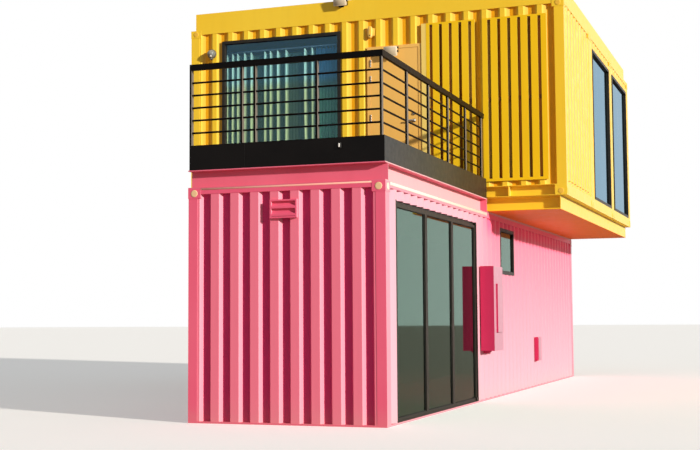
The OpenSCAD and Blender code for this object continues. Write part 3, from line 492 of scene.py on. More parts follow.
def coated_frame():
    """Dark powder coat on frames and brackets, with painted light: greyer where it faces the sun's side."""
    m = Finish("dark_powder_coat")
    shade = m.over(tuple(settings().frame_coat), "#23211B", m.pattern(240, 3, (0.35, 0.7)))
    # painted light: faces that look along +X are greyer
    shade = m.over(shade, "#38342E", m.facing_right(), 0.55)
    grime = m.pattern(60, 4, (0.55, 0.8), 0.6, stretch=(1, 1, 0.2))
    shade = m.over(shade, "#5A5248", grime, 0.25)
    gloss = m.pattern(40, 3, (0.3, 0.7, 0.4, 0.54))
    sockets = {"Base Color": shade, "Roughness": gloss, "IOR": 1.5, "Specular IOR Level": 0.2}
    return m.surface(sockets, [(m.pattern(2.5, 2), 0.05)])


def black_paint():
    """Satin black paint on the fascia; painted light greys its sun side: slate, olive, then brown."""
    m = Finish("satin_black_paint")
    cloud = m.pattern(500, 3, (0.35, 0.7))
    shade = m.over("#080606", "#100D0C", cloud)
    # painted light on the side towards the sun, slate near the front, then olive, then brown
    dust = m.over("#3A3D3F", "#3A3A2D", m.add("MapRange", (m.y, -6.1, -3.8)))
    dust = m.over(dust, "#35281C", m.add("MapRange", (m.y, -3.8, -1.3)))
    shade = m.over(shade, m.over(dust, "#5C5248", cloud, 0.15), m.facing_right())
    shade = m.over(shade, "#5C5248", m.pattern(34, 4, (0.62, 0.78), 0.7), 0.1)
    gloss = m.pattern(70, 3, (0.3, 0.7, 0.4, 0.56))
    sockets = {"Base Color": shade, "Roughness": gloss, "IOR": 1.5, "Specular IOR Level": 0.1}
    return m.surface(sockets, [(m.pattern(300, 2), 1.2), (m.pattern(5, 2), 0.06)])


def railing_enamel():
    """Black enamel on the railing. Painted light greys the posts' flat sides towards the sun."""
    post_top = 4.139
    m = Finish("railing_enamel")
    cloud = m.pattern(300, 3, (0.35, 0.7))
    shade = m.over("#060505", "#0B0909", cloud)
    # painted light: faces that look along +X are lighter
    shade = m.over(shade, "#1B1612", m.facing_right(), 0.6)
    # a normal this close to +X is found on flat bar only, not on the rods; painted light browns it
    flat = m.add("Math", (m.rightness(), 0.98), operation="GREATER_THAN")
    shade = m.over(shade, "#20180F", flat, 0.8)
    # painted light: the posts' flat sides towards the sun are grey
    post = m.product(flat, m.add("Math", (m.z, post_top), operation="LESS_THAN"))
    shade = m.over(shade, m.over("#6C665E", "#77716A", cloud), post)
    shade = m.over(shade, "#4A4038", m.pattern(26, 4, (0.64, 0.78), 0.7), 0.1)
    gloss = m.pattern(50, 3, (0.3, 0.7, 0.4, 0.55))
    sockets = {"Base Color": shade, "Roughness": gloss, "IOR": 1.5, "Specular IOR Level": 0.06}
    return m.surface(sockets, [(m.pattern(4, 2), 0.05)])


def soffit_paint():
    """Yellow paint under the overhang, with painted bounce light: orange, redder near the pink wall."""
    m = Finish("yellow_soffit_paint")
    # painted light thrown back onto the soffit, from orange-red near the pink wall to orange
    shade = m.over("#FF8800", "#FC9800", m.add("MapRange", (m.x, 1.25, 2.35)))
    shade = m.over(shade, "#C46A20", m.pattern(350, 3, (0.45, 0.75)), 0.12)
    gloss = m.pattern(90, 3, (0.3, 0.7, 0.4, 0.55))
    sockets = {"Base Color": shade, "Roughness": gloss, "IOR": 1.5, "Specular IOR Level": 0.15}
    return m.surface(sockets, [(m.pattern(420, 2), 2.0), (m.pattern(7, 2), 0.05)])


def clear_glass(name, tint, shine, open_to_sun=False, mirror=0.0, ior=1.52, above=None):
    """Float glass with a faint film of dust. Sunlight may pass through it into the room.

    mirror is the share of a thin sun-control coat, which mirrors in the glass's own tint.
    above is the bluer tint of a pane's upper part, a painted reflection of the sky.
    """
    m = Finish(name)
    # painted reflection of the sky in the pane's upper part
    if above:
        tint = m.over(tint, above, m.add("MapRange", (m.z, 4.86, 4.98)))
    film = m.pattern(260, 4, (0.35, 0.75, 0.01, 0.05), 0.6, stretch=(1, 1, 0.35))
    sockets = {"Base Color": tint, "Roughness": film, "IOR": ior, "Transmission Weight": 1.0}
    sockets |= {"Specular Tint": shine, "Metallic": mirror}
    if open_to_sun:
        shadow = m.add("LightPath", output="Is Shadow Ray")
        sockets["Alpha"] = m.add("Math", (shadow, -0.85, 1.0), operation="MULTIPLY_ADD")
    return m.surface(sockets)


def boards(name, light, dark, along_x, width_mm, gap_mm=0.0):
    """Timber boards that lie side by side, each with its own tone and grain along its length."""
    m = Finish(name)
    across, stretch = (m.y, (0.06, 1, 1)) if along_x else (m.x, (1, 0.06, 1))
    step = m.add("Math", (across, 1 / (width_mm * MM)), operation="MULTIPLY")
    number = m.add("Math", (step,), operation="FLOOR")
    tone = m.add("TexWhiteNoise", {"W": number}, noise_dimensions="1D")
    grain = m.pattern(9, 5, (0.3, 0.72), 0.65, stretch=stretch)
    shade = m.over(m.over(dark, light, grain), "#8E7B68", tone, 0.35, "MULTIPLY")
    height = grain
    if gap_mm:
        part = m.add("Math", (step,), operation="FRACT")
        rest = m.add("Math", (1.0, part), operation="SUBTRACT")
        edge = m.add("Math", (part, rest), operation="MINIMUM")
        seam = m.add("MapRange", (edge, 0.0, gap_mm / width_mm))
        shade = m.over("#2A2018", shade, seam)
        height = m.product(grain, seam)
    gloss = m.add("MapRange", (grain, 0.0, 1.0, 0.68, 0.52))
    return m.surface({"Base Color": shade, "Roughness": gloss, "IOR": 1.45}, [(height, 0.6)])


def cloth(name, ridge, valley, above=None):
    """Plain woven curtain cloth: two sets of threads 0.8 mm apart, with soft uneven dye.

    Painted shade and light: the valleys between the pleats are dark and their ridges pale. above
    is the colour of its upper part, a painted reflection. The attribute fold is 0 between the
    pleats and 1 on their ridges.
    """
    m = Finish(name)
    turns = 2 * np.pi / (0.8 * MM)
    waves = []
    for place in (m.x, m.z):
        angle = m.add("Math", (place, turns), operation="MULTIPLY")
        waves.append(m.add("Math", (angle,), operation="SINE"))
    fold = m.add("Attribute", output="Fac", attribute_name="fold")
    # painted shade in the valleys and painted light on the ridges
    shade = m.over(valley, ridge, fold)
    if above:
        # painted reflection on the upper part
        shade = m.over(shade, above, m.add("MapRange", (m.z, 4.74, 4.9)))
    dye = m.pattern(300, 3, (0.35, 0.7), stretch=(1, 1, 0.2))
    shade = m.over(shade, "#9FB0A0", dye, 0.25, "MULTIPLY")
    sockets = {"Base Color": shade, "Roughness": 0.85, "Sheen Weight": 0.08, "IOR": 1.4}
    return m.surface(sockets, [(m.product(*waves), 0.1)])


def rubber():
    """Black rubber of gaskets, of the fixture's eye and in the lock's slot, matt with dust."""
    m = Finish("black_rubber")
    shade = m.over("#141312", "#4A443D", m.pattern(30, 4, (0.5, 0.8)), 0.3)
    sockets = {"Base Color": shade, "Roughness": 0.72, "IOR": 1.45}
    return m.surface(sockets, [(m.pattern(3, 2), 0.08)])


def zinc():
    """Galvanised steel of the curtain track and the door's hardware, with its spangle."""
    m = Finish("galvanised_steel")
    shade = m.over("#9C9C98", "#7D7C77", m.pattern(6, 3, (0.3, 0.7)))
    gloss = m.pattern(12, 2, (0.3, 0.7, 0.32, 0.5))
    sockets = {"Base Color": shade, "Metallic": 0.85, "Roughness": gloss}
    return m.surface(sockets, [(m.pattern(4, 2), 0.05)])


def lamp_plastic(name, base, rough):
    """Moulded lamp housing, yellowed and dusty in places."""
    m = Finish(name)
    shade = m.over(base, "#B9B2A2", m.pattern(60, 3, (0.35, 0.75)), 0.4)
    sockets = {"Base Color": shade, "Roughness": rough, "IOR": 1.5}
    return m.surface(sockets, [(m.pattern(4, 2), 0.04)])


def pale_floor():
    """Pale studio floor, darker to the light that it throws back than to the camera."""
    m = Finish("studio_floor")
    seen = m.add("LightPath", output="Is Camera Ray")
    pale = m.over("#EDEDEB", "#F1F1EF", m.pattern(2500, 2))
    sockets = {"Base Color": m.over("#B5A59C", pale, seen), "Roughness": 0.9, "IOR": 1.3}
    sockets |= {"Emission Color": "#F6F6F4", "Emission Strength": m.product(seen, 0.3)}
    return m.surface(sockets)


# Pieces


def wall_paints():
    """Paint of the walls and the slat screens, with the names of their nodes."""
    s = settings()
    ground = (-GROUND_X, GROUND_X, -GROUND_Y, GROUND_Y)
    upper = (UPPER_X0, UPPER_X1, UPPER_Y0, UPPER_Y1)
    ground_room, upper_room = room_of(*ground), room_of(*upper)
    foot, head = (v.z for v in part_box("slat_screens"))
    # painted shade: the wall behind the slat screens is deep brown there, and so are the slats' own backs
    # and sides
    shade_behind_screens = [
        ((x0, -1.215, foot + 0.03), (x1, -1.12, head - 0.03), "#A86400")
        for x0, x1 in ((0.33, 1.04), (1.2, 2.12))
    ]
    slat_back_shade = [((0.2, -1.2185), (2.2, -1.1), "#6A3C06")]
    # The third colour of each paint is painted light on faces towards the sun, and shelter is painted shade
    # under the overhang.
    pink = painted_steel(
        "pink_paint", tuple(s.pink_wall_groove_shade), "#D83874", "#E99DAF", 0.45, ground_room, flats=(ground, "#F47C95")
    )
    side = painted_steel(
        "pink_paint_side",
        tuple(s.pink_side),
        "#DC446C",
        "#DC879F",
        0.45,
        ground_room,
        foot="#DCADBC",
        overhang_shade="#FF6F96",
    )
    yellow = painted_steel(
        "yellow_paint",
        tuple(s.yellow_wall_groove_shade),
        "#FDB814",
        "#E4DA78",
        room=upper_room,
        flats=(upper, "#FFD436"),
        shade_or_paint_boxes=shade_behind_screens,
    )
    ends = painted_steel("yellow_end_paint", "#FDC41C", "#FFCC26", "#DCB75B", room=upper_room)
    slats = painted_steel("yellow_slat_paint", tuple(s.slat_paint), "#FFD11C", "#E2CC58", shade_or_paint_boxes=slat_back_shade)
    return {
        pink: ["ground_front_wall", "ground_left_wall", "ground_back_wall"],
        side: ["ground_right_wall_front", "ground_right_wall_over", "ground_right_wall_rear"],
        yellow: ["upper_front_wall", "upper_back_wall"],
        ends: ["upper_end_walls"],
        slats: ["slat_screens"],
    }


def frame_paints():
    """Paint of posts, rails, beams, doors and small steel, with the names of their nodes."""
    s = settings()
    tall_jamb = [((0.225, -1.3), (0.32, -1.0), "#FFE07A")]
    # The third colour of each paint is painted light on faces towards the sun, and shelter is painted shade
    # under the overhang.
    cabinet = painted_steel("pink_cabinet_paint", "#C52C58", "#C9315E", "#BE8EA0")
    pink = painted_steel(
        "pink_frame_paint", tuple(s.pink_frame), "#F26A88", "#DC93A6", 0.35, overhang_shade="#FF6F96"
    )
    beams = painted_steel("pink_beam_paint", "#E86A84", "#EC7690", "#E4B0B6")
    yellow = painted_steel("yellow_frame_paint", tuple(s.yellow_frame), "#FFD83E", "#DEC760")
    peach = painted_steel(
        "peach_paint", tuple(s.door_paint), "#FFCC70", "#F0C27E", shade_or_paint_boxes=tall_jamb, rough=0.5
    )
    posts = ["upper_posts_near", "upper_posts_middle", "upper_posts_far"]
    windows = ["small_window_frame", "end_window_frames", "front_window_frame"]
    return {
        cabinet: ["wall_cabinet", "meter_box"],
        pink: ["ground_corner_posts", "ground_top_rails", "ground_sill", "ground_roof", "front_vent"],
        beams: ["terrace_beams"],
        yellow: [*posts, "upper_rails", "upper_base_beams", "roof_parapet", "upper_roof"],
        soffit_paint(): ["upper_soffits"],
        peach: ["upper_door", "upper_door_frame"],
        coated_frame(): ["storefront_frame", "storefront_leaves", *windows],
        black_paint(): ["terrace_fascia"],
        railing_enamel(): ["railing_front", "railing_right"],
    }


def other_finishes():
    """Glass, floors, deck and lamps, with the names of their nodes."""
    shop = clear_glass("storefront_glass", "#9CBCAC", "#8AAC9C", mirror=0.35)
    ends = clear_glass("end_window_glass", "#8BB2C8", "#ACCEDF", mirror=0.8)
    # the front window's upper part gets a painted reflection of the sky
    front = clear_glass("window_glass", "#BCC9B8", "#98CEE6", open_to_sun=True, ior=1.6, above="#B0D6F0")
    deck = boards("deck_boards", tuple(settings().deck_timber), "#5E4632", along_x=True, width_mm=146)
    floor = boards("floor_panels", "#B79B77", "#94784F", along_x=False, width_mm=190, gap_mm=3)
    return {
        shop: ["storefront_glass", "small_window_glass"],
        ends: ["end_window_glass"],
        front: ["front_window_glass"],
        floor: ["ground_floor", "upper_floor"],
        deck: ["terrace_deck"],
        lamp_plastic("lamp_housing", "#DCDAD2", 0.4): ["outside_lamps"],
    }


def paint_nodes():
    """Gives every CAD node its material."""
    left = set(frame["nodes"])
    for material, names in (wall_paints() | frame_paints() | other_finishes()).items():
        for name in names:
            mesh = frame["nodes"][name].data
            mesh.materials.clear()
            mesh.materials.append(material)
            left.discard(name)
    if left:
        raise ValueError(f"no material for {sorted(left)}")


def deck_planks():
    """Planks across the terrace on bearers that run along it.

    Plank i starts at y0 + i (width + gap), and y0 centres the whole planks that fit.
    """
    low, high = (np.array(v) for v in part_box("terrace_deck"))
    width, gap = metres("plank_width"), metres("plank_gap")
    thick, bearer, bearers = 0.028, 0.05, 5
    pitch = width + gap
    count = int((high[1] - low[1] + gap) // pitch)
    y = low[1] + (high[1] - low[1] - count * pitch + gap) / 2 + np.arange(count) * pitch
    planks = bevelled_boxes(
        np.stack([np.full(count, low[0]), y, np.full(count, high[2] - thick)], -1),
        np.stack([np.full(count, high[0]), y + width, np.full(count, high[2])], -1),
        0.004,
    )
    x = np.linspace(low[0], high[0] - bearer, bearers)
    rails = bevelled_boxes(
        np.stack([x, np.full(bearers, low[1]), np.full(bearers, low[2])], -1),
        np.stack([x + bearer, np.full(bearers, high[1]), np.full(bearers, high[2] - thick)], -1),
        0.003,
    )
    light = tuple(settings().deck_timber)
    timber = boards("deck_timber", light, "#5E4632", along_x=True, width_mm=pitch / MM)
    finished("deck_planks", joined(planks, rails), timber, replaces=["terrace_deck"])


def pleated(x0, x1, ridges, y, depth, top, bottom, seed):
    """Curtain that hangs in pinched pleats whose ridges stand forward at given places.

    With g(x) = exp(-(d(x) / w)^2), d the distance to the nearest ridge and w a pleat's half width,
    y = y0 + D(v) (0.5 - g) + a small ripple, where D grows from the heading to the hem. The
    heading falls between the ridges, and the ridges wander a little on their way down.
    """
    step, levels, wander, ripple_high, ripple_long, sag = 0.004, 41, 0.006, 0.004, 0.052, 0.05
    rng = np.random.default_rng(seed)
    wide = metres("pleat_width")
    x = np.linspace(x0, x1, int((x1 - x0) / step) + 2)
    v = np.linspace(0, 1, levels)[:, None]
    ridges = np.asarray(ridges, float)
    moved = ridges[None, :] + wander * v**2 * rng.normal(0, 1, len(ridges))[None, :]
    gap = np.abs(x[None, :, None] - moved[:, None, :]).min(axis=2)
    fold = np.exp(-((gap / wide) ** 2))
    ripple = ripple_high * np.sin(2 * np.pi * x / ripple_long + rng.uniform(0, 6))[None, :]
    deep = depth * (0.7 + 0.3 * v)
    py = y + deep * (0.5 - fold) + ripple * (0.4 + 0.6 * v)
    px = np.broadcast_to(x, py.shape)
    pz = top - (top - bottom) * v - sag * (1 - fold) * (1 - v) ** 6
    points = np.stack([px, py, np.broadcast_to(pz, py.shape)], -1)
    rows, columns = py.shape
    i, j = np.meshgrid(np.arange(rows - 1), np.arange(columns - 1), indexing="ij")
    k = i * columns + j
    quads = np.stack([k, k + columns, k + columns + 1, k + 1], -1).reshape(-1, 4)
    flat_width = float(np.linalg.norm(np.diff(points[rows // 2], axis=0), axis=1).sum())
    return (points.reshape(-1, 3), quads, ()), fold.ravel(), (flat_width, top - bottom)


def curtains():
    """Two curtains behind the large front window."""
    low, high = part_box("front_window_frame")
    from_wall, from_head, from_floor, track_wide, track_high = 0.2, 0.175, 0.02, 0.06, 0.03
    y, top, bottom = UPPER_Y0 + from_wall, high.z - from_head, FLOOR_TOP + from_floor
    green = cloth("green_curtain_linen", tuple(settings().curtain_linen), "#34462C")
    # painted shade and reflection: the right curtain is teal, bluer at its top
    teal = cloth("teal_curtain_painted_shade", "#62ACA2", "#3A7C76", above="#4E7C8E")
    parting, overlap, gap, spacing, shallow = -1.57, 0.1, 0.008, 0.054, 0.014
    even = np.arange(parting + 0.03, high.x + 0.06, spacing)
    made_of = (
        ("curtain_left", low.x - overlap, parting, GREEN_RIDGES, metres("pleat_depth"), green, 3),
        ("curtain_right", parting + gap, high.x + overlap, even, shallow, teal, 8),
    )
    for name, x0, x1, ridges, depth, material, seed in made_of:
        part, fold, flat = pleated(x0, x1, ridges, y, depth, top, bottom, seed)
        made = finished(name, part, material, smooth=True)
        values = made.data.attributes.new("fold", "FLOAT", "POINT").data
        values.foreach_set("value", fold.astype(np.float32))
    track = bevelled_boxes(
        (low.x - 0.12, y - track_wide / 2, top),
        (high.x + 0.12, y + track_wide / 2, top + track_high),
        0.004,
    )
    finished("curtain_track", track, zinc())


def edges_of(node, axis):
    """Lowest and highest places along an axis of each box in a node of plain boxes."""
    mesh = frame["nodes"][node].data
    co = np.zeros(len(mesh.vertices) * 3)
    mesh.vertices.foreach_get("co", co)
    places = np.unique(np.round(co.reshape(-1, 3)[:, axis], 4))
    return list(zip(places[0::2], places[1::2]))


def pane_gaskets():
    """Rubber strips round every pane, on both of its faces."""
    width, proud = metres("gasket_width"), 0.005
    lows, highs = [], []

    def frame_pane(plane, low, high):
        others = [k for k in range(3) if k != plane]
        a, b = [low[k] for k in others], [high[k] for k in others]
        for near, far in ((low[plane] - proud, low[plane]), (high[plane], high[plane] + proud)):
            p, q = strips_round(plane, a, b, width, near, far)
            lows.extend(p)
            highs.extend(q)

    frame_pane(1, *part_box("front_window_glass"))
    frame_pane(0, *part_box("small_window_glass"))
    low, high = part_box("storefront_glass")
    for y0, y1 in edges_of("storefront_glass", 1):
        frame_pane(0, (low.x, y0, low.z), (high.x, y1, high.z))
    low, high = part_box("end_window_glass")
    for y0, y1 in edges_of("end_window_glass", 1):
        for x0, x1 in edges_of("end_window_glass", 0):
            frame_pane(0, (x0, y0, low.z), (x1, y1, high.z))
    finished("pane_gaskets", bevelled_boxes(lows, highs, 0.0015), rubber())


def flood_lamp(x, y, z, lift):
    """Parts of a flood lamp on a wall at y: housing with fins, front lens, and U bracket.

    z is the height of the bracket's arm, and lift how far the housing's top is above it.
    """
    wide, high, deep, off = 0.2, 0.15, 0.07, 0.026
    rim_out, rim_deep, lens_in, fin_in, fin_half, fins = 0.002, 0.012, 0.014, 0.02, 0.0025, 7
    left, right = x - wide / 2, x + wide / 2
    top, bottom = z + lift, z + lift - high
    back, front = y - off, y - off - deep
    shell = bevelled_boxes((left, front + 0.01, bottom + 0.004), (right, back - 0.016, top - 0.004), 0.008)
    rim = bevelled_boxes((left - rim_out, front, bottom), (right + rim_out, front + rim_deep, top), 0.004)
    fin_x = x + np.linspace(-wide / 2 + fin_in, wide / 2 - fin_in, fins)
    cooling = bevelled_boxes(
        np.stack([fin_x - fin_half, np.full(fins, back - 0.018), np.full(fins, bottom + fin_in)], -1),
        np.stack([fin_x + fin_half, np.full(fins, back), np.full(fins, top - fin_in)], -1),
        0.001,
    )
    lens = bevelled_boxes(
        (left + lens_in, front - 0.002, bottom + lens_in),
        (right - lens_in, front + 0.004, top - lens_in),
        0.002,
    )
    side, bar, arm_half, strap = wide / 2 + 0.003, 0.004, 0.014, (y - 0.012, y - 0.005)
    pivot = (x, back - deep / 2, top - high / 2)
    plate = bevelled_boxes((x - 0.044, y - 0.006, z - 0.044), (x + 0.044, y, z + 0.006), 0.002)
    cross = bevelled_boxes((x - side, strap[0], z - 0.02), (x + side, strap[1], z + 0.006), 0.001)
    bars = ((x - side - bar, x - side), (x + side, x + side + bar))
    low, up = pivot[2] - arm_half, pivot[2] + arm_half
    arms = bevelled_boxes(
        [(a, pivot[1] - 0.012, low) for a, b in bars], [(b, strap[1], up) for a, b in bars], 0.001
    )
    foot, head = min(z - 0.02, low), max(z + 0.006, up)
    uprights = bevelled_boxes(
        [(a, strap[0], foot) for a, b in bars], [(b, strap[1], head) for a, b in bars], 0.001
    )
    bolt = turned([(0.012, 0), (0.012, 0.004), (0.009, 0.007), (0.003, 0.008)], 20)
    bolts = [placed(bolt, (way, 0, 0), (x + way * (side + bar), *pivot[1:])) for way in (-1, 1)]
    housing = tilted(joined(shell, rim, cooling), 9, pivot)
    return housing, tilted(lens, 9, pivot), joined(plate, cross, arms, uprights, *bolts)


def flood_lamps():
    """Flood lamps over the door and on the parapet."""
    cream = lamp_plastic("cream_lamp_housing", "#E8D8BA", 0.38)
    frosted = lamp_plastic("frosted_lens", "#D2C2A2", 0.2)
    over_door = flood_lamp(x=-0.239, y=-1.216, z=5.33, lift=0.0)
    on_parapet = flood_lamp(x=-1.057, y=-1.214, z=6.072, lift=0.115)
    housings, lenses, brackets = (joined(*pair) for pair in zip(over_door, on_parapet))
    finished("flood_housings", housings, cream, replaces=["outside_lamps"])
    finished("flood_lenses", lenses, frosted)
    finished("flood_brackets", brackets, coated_frame())


def fascia_fitting(opal):
    """Small fitting on the fascia, with an oval lens."""
    x, y, z = 0.678, -6.112, 3.145
    body = bevelled_boxes((x - 0.02, y, z - 0.035), (x + 0.02, y + 0.026, z + 0.035), 0.005)
    finished("fascia_fitting", body, black_paint())
    lens = turned([(0.009, 0), (0.009, 0.003), (0.006, 0.0048)], 20, 0.014)
    finished("fascia_fitting_lens", placed(lens, (0, -1, 0), (x, y, z)), opal)


def wall_lamp(opal):
    """Round wall lamp: ring with a chin, smoked dome, and the bead of its sensor.

    The dome's profile is r = 0.065 cos t, h = 0.034 + 0.078 sin t, up to t = 84 degrees.
    """
    steps = settings().lathe_steps
    x, z = -3.282, 5.46
    facing, at = (0, -1, 0), (x, WALL_Y, z)
    grey = lamp_plastic("dark_lamp_ring", "#3B3738", 0.45)
    smoked = lamp_plastic("smoked_lamp_dome", "#6F7672", 0.14)
    ring = turned([(0.075, 0), (0.075, 0.026), (0.072, 0.034), (0.066, 0.037), (0.05, 0.037)], steps)
    chin = bevelled_boxes((x - 0.02, WALL_Y - 0.06, z - 0.096), (x + 0.02, WALL_Y, z - 0.066), 0.006)
    finished("wall_lamp_ring", joined(placed(ring, facing, at), chin), grey)
    t = np.radians(np.linspace(0, 84, 12))
    dome = turned(np.stack([0.065 * np.cos(t), 0.034 + 0.078 * np.sin(t)], -1), steps)
    finished("wall_lamp_dome", placed(dome, facing, at), smoked, smooth=True)
    bead = turned([(0.016, 0), (0.015, 0.006), (0.011, 0.011), (0.004, 0.014)], 20)
    bead = placed(bead, (0.15, -0.8, -0.58), (x + 0.012, WALL_Y - 0.082, z - 0.044))
    finished("wall_lamp_sensor", bead, opal, smooth=True)


def oval_fixture():
    """Oval fixture high on the wall near the door: body with a seam, back plate and small eye."""
    steps, straight = settings().lathe_steps, 0.061
    x, z = -0.588, 5.592
    facing, at = (0, -1, 0), (x, WALL_Y, z)
    profile = [(0.034, 0), (0.034, 0.022), (0.032, 0.03), (0.027, 0.035), (0.018, 0.038)]
    body = turned(profile, steps, straight)
    seam = turned([(0.0352, 0.01), (0.0352, 0.014)], steps, straight)
    plate = bevelled_boxes((x - 0.056, WALL_Y - 0.008, z - 0.061), (x + 0.072, WALL_Y, z + 0.061), 0.003)
    oval = joined(placed(body, facing, at), placed(seam, facing, at), plate)
    finished("oval_fixture", oval, lamp_plastic("yellow_fixture_plastic", "#FFC840", 0.4))
    eye = turned([(0.009, 0), (0.009, 0.0015), (0.006, 0.003)], 20)
    eye = placed(eye, facing, (x, WALL_Y - 0.038, z - 0.052))
    finished("oval_fixture_eye", eye, rubber())


def casting_covers():
    """Round covers over the holes of the castings of every container."""
    r = metres("cover_size") / 2
    profile = [(r, 0), (r, 0.0028), (r - 0.003, 0.0042), (r - 0.012, 0.0046), (0.006, 0.0046)]
    cover = turned(profile, settings().lathe_steps)
    ground_z, upper_z = 2.669, (3.025, 5.803)
    # how far a casting's hole is from the corner, on an end of a container and on a long side
    on_end, on_side = 0.081, 0.089
    pink, yellow = [], []
    for way in (-1, 1):
        for edge in (-1, 1):
            pink.append(((0, way, 0), (edge * (GROUND_X - on_end), way * GROUND_Y, ground_z)))
            pink.append(((way, 0, 0), (way * GROUND_X, edge * (GROUND_Y - on_side), ground_z)))
    for z in upper_z:
        for x in (UPPER_X0 + on_side, UPPER_X1 - on_side):
            yellow.append(((0, -1, 0), (x, UPPER_Y0, z)))
            yellow.append(((0, 1, 0), (x, UPPER_Y1, z)))
        for k in range(3):
            for y in (UPPER_Y0 + UNIT_WIDTH * k + on_end, UPPER_Y0 + UNIT_WIDTH * (k + 1) - on_end):
                yellow.append(((-1, 0, 0), (UPPER_X0, y, z)))
                yellow.append(((1, 0, 0), (UPPER_X1, y, z)))
    # the third colour of each is painted light on faces towards the sun
    cream = painted_steel("cream_cover_paint", "#F0C896", "#F4D2A6", "#F6E0CC")
    ochre = painted_steel("pale_cover_paint", "#F4C244", "#F8C84C", "#DCC564")
    finished("pink_casting_covers", joined(*(placed(cover, *at) for at in pink)), cream)
    finished("yellow_casting_covers", joined(*(placed(cover, *at) for at in yellow)), ochre)


def rail_pale_strips():
    """Pale strips along the pink top rails, on the front and on the right."""
    low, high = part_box("ground_top_rails")
    top, sunk, proud = high.z - 0.0005, 0.001, 0.003
    # the third colour of each is painted light on faces towards the sun
    peach = painted_steel("peach_strip_paint", "#FFB9A8", "#FFC4B2", "#FFC4B2")
    pale = painted_steel("cream_strip_paint", "#F6DCC8", "#F8E2D2", "#E8DCD0")
    half, front_high = 1.056, 0.02
    start, end, side_high = -5.918, -1.25, 0.037
    front = bevelled_boxes((-half, low.y - proud, top - front_high), (half, low.y + sunk, top), 0.001)
    side = bevelled_boxes((high.x - sunk, start, top - side_high), (high.x + proud, end, top), 0.001)
    finished("front_rail_pale_strip", front, peach)
    finished("side_rail_pale_strip", side, pale)


def door_hardware():
    """Sleeves on the four hinges, lever and lock of the upper door."""
    steps = settings().lathe_steps
    leaf_x, leaf_z, facing = -0.588, 3.138, (0, -1, 0)
    handle = (0.104, WALL_Y, leaf_z + 1.045)
    lock = (handle[0], WALL_Y, handle[2] + 0.105)
    groove = [(0.0102, 0.034), (0.0088, 0.0355), (0.0088, 0.037), (0.0102, 0.0385)]
    second = [(r, h + 0.0375) for r, h in groove]
    profile = [(0.0094, 0), (0.0102, 0.002), *groove, *second, (0.0102, 0.108), (0.0094, 0.11)]
    sleeve = turned(profile, steps // 2)
    heights = (0.25, 1.06, 1.66, 1.91)
    sleeves = [placed(sleeve, (0, 0, 1), (leaf_x + 0.005, WALL_Y - 0.01, leaf_z + up)) for up in heights]
    rose = turned([(0.0275, 0), (0.0275, 0.008), (0.025, 0.0115), (0.011, 0.012), (0.0105, 0.047)], steps)
    barrel = turned([(0.0235, 0), (0.0235, 0.01), (0.021, 0.0135), (0.008, 0.0138)], steps)
    arm = bevelled_boxes(
        (-0.0075, WALL_Y - 0.048, handle[2] - 0.0115), (0.1155, WALL_Y - 0.0305, handle[2] + 0.0115), 0.006
    )
    fitted = joined(*sleeves, placed(rose, facing, handle), arm, placed(barrel, facing, lock))
    finished("door_hardware", fitted, zinc())
    slot = bevelled_boxes(
        (lock[0] - 0.0015, WALL_Y - 0.0146, lock[2] - 0.006),
        (lock[0] + 0.0015, WALL_Y - 0.0136, lock[2] + 0.006),
        0.0004,
    )
    finished("lock_slot", slot, rubber())


# Stage


def add_floor():
    """Pale floor under the object."""
    half = 150.0
    square = [(-half, -half, 0), (half, -half, 0), (half, half, 0), (-half, half, 0)]
    floor = build_mesh("floor", square, [(0, 1, 2, 3)])
    floor.data.materials.append(pale_floor())


def add_lights():
    """A broad sun from the right and the front, and an even fill from all round."""
    world = bpy.data.worlds.new("studio")
    bpy.context.scene.world = world
    world.use_nodes = True
    world.node_tree.nodes.clear()
    add = partial(add_node, world.node_tree)
    rays = add("LightPath", output=None).outputs
    direct = add("Math", (rays["Is Camera Ray"], rays["Is Glossy Ray"]), operation="MAXIMUM")
    seen = add("Math", (direct, rays["Is Transmission Ray"]), operation="MAXIMUM")
    fill = add("Background", ("#F4F6FA", 0.27))
    white = add("Background", ("#FFFFFF", 1.0))
    add("OutputWorld", (add("MixShader", (seen, fill, white)),), None)
    lamp = bpy.data.lights.new("sun", "SUN")
    lamp.energy = 4.9
    lamp.angle = np.radians(2.5)
    lamp.color = srgb("#FFF6EA")[:3]
    sun = bpy.data.objects.new("sun", lamp)
    bpy.context.scene.collection.objects.link(sun)
    turn, rise = np.radians(22.5), np.radians(14.8)
    towards = Vector((np.cos(rise) * np.cos(turn), -np.cos(rise) * np.sin(turn), np.sin(rise)))
    sun.rotation_mode = "QUATERNION"
    sun.rotation_quaternion = towards.to_track_quat("Z", "Y")


def add_camera():
    """Camera as fitted to the containers' corners."""
    place, yaw, pitch, roll = (5.4759, -19.233, 1.2081), 0.3421, 0.0739, -0.0067
    focal_pixels, image_pixels, sensor = 1249.9, 700, 36.0
    data = bpy.data.cameras.new("view")
    data.sensor_width = sensor
    data.lens = focal_pixels * sensor / image_pixels
    data.clip_end = 500.0
    level = Vector((-np.sin(yaw), np.cos(yaw), 0))
    side = Vector((np.cos(yaw), np.sin(yaw), 0))
    up = Vector((0, 0, 1))
    ahead = level * np.cos(pitch) + up * np.sin(pitch)
    above = up * np.cos(pitch) - level * np.sin(pitch)
    right = side * np.cos(roll) + above * np.sin(roll)
    top = above * np.cos(roll) - side * np.sin(roll)
    camera = bpy.data.objects.new("view", data)
    bpy.context.scene.collection.objects.link(camera)
    turn = Matrix((right, top, -ahead)).transposed().to_4x4()
    camera.matrix_world = Matrix.Translation(place) @ turn
    bpy.context.scene.camera = camera


# Add-on


class CABIN_OT_paint(bpy.types.Operator):
    """Give every solid of the cabin its material"""

    bl_idname = "cabin.paint"
    bl_label = "Paint the Solids"

    def execute(self, context):
        paint_nodes()
        return {"FINISHED"}


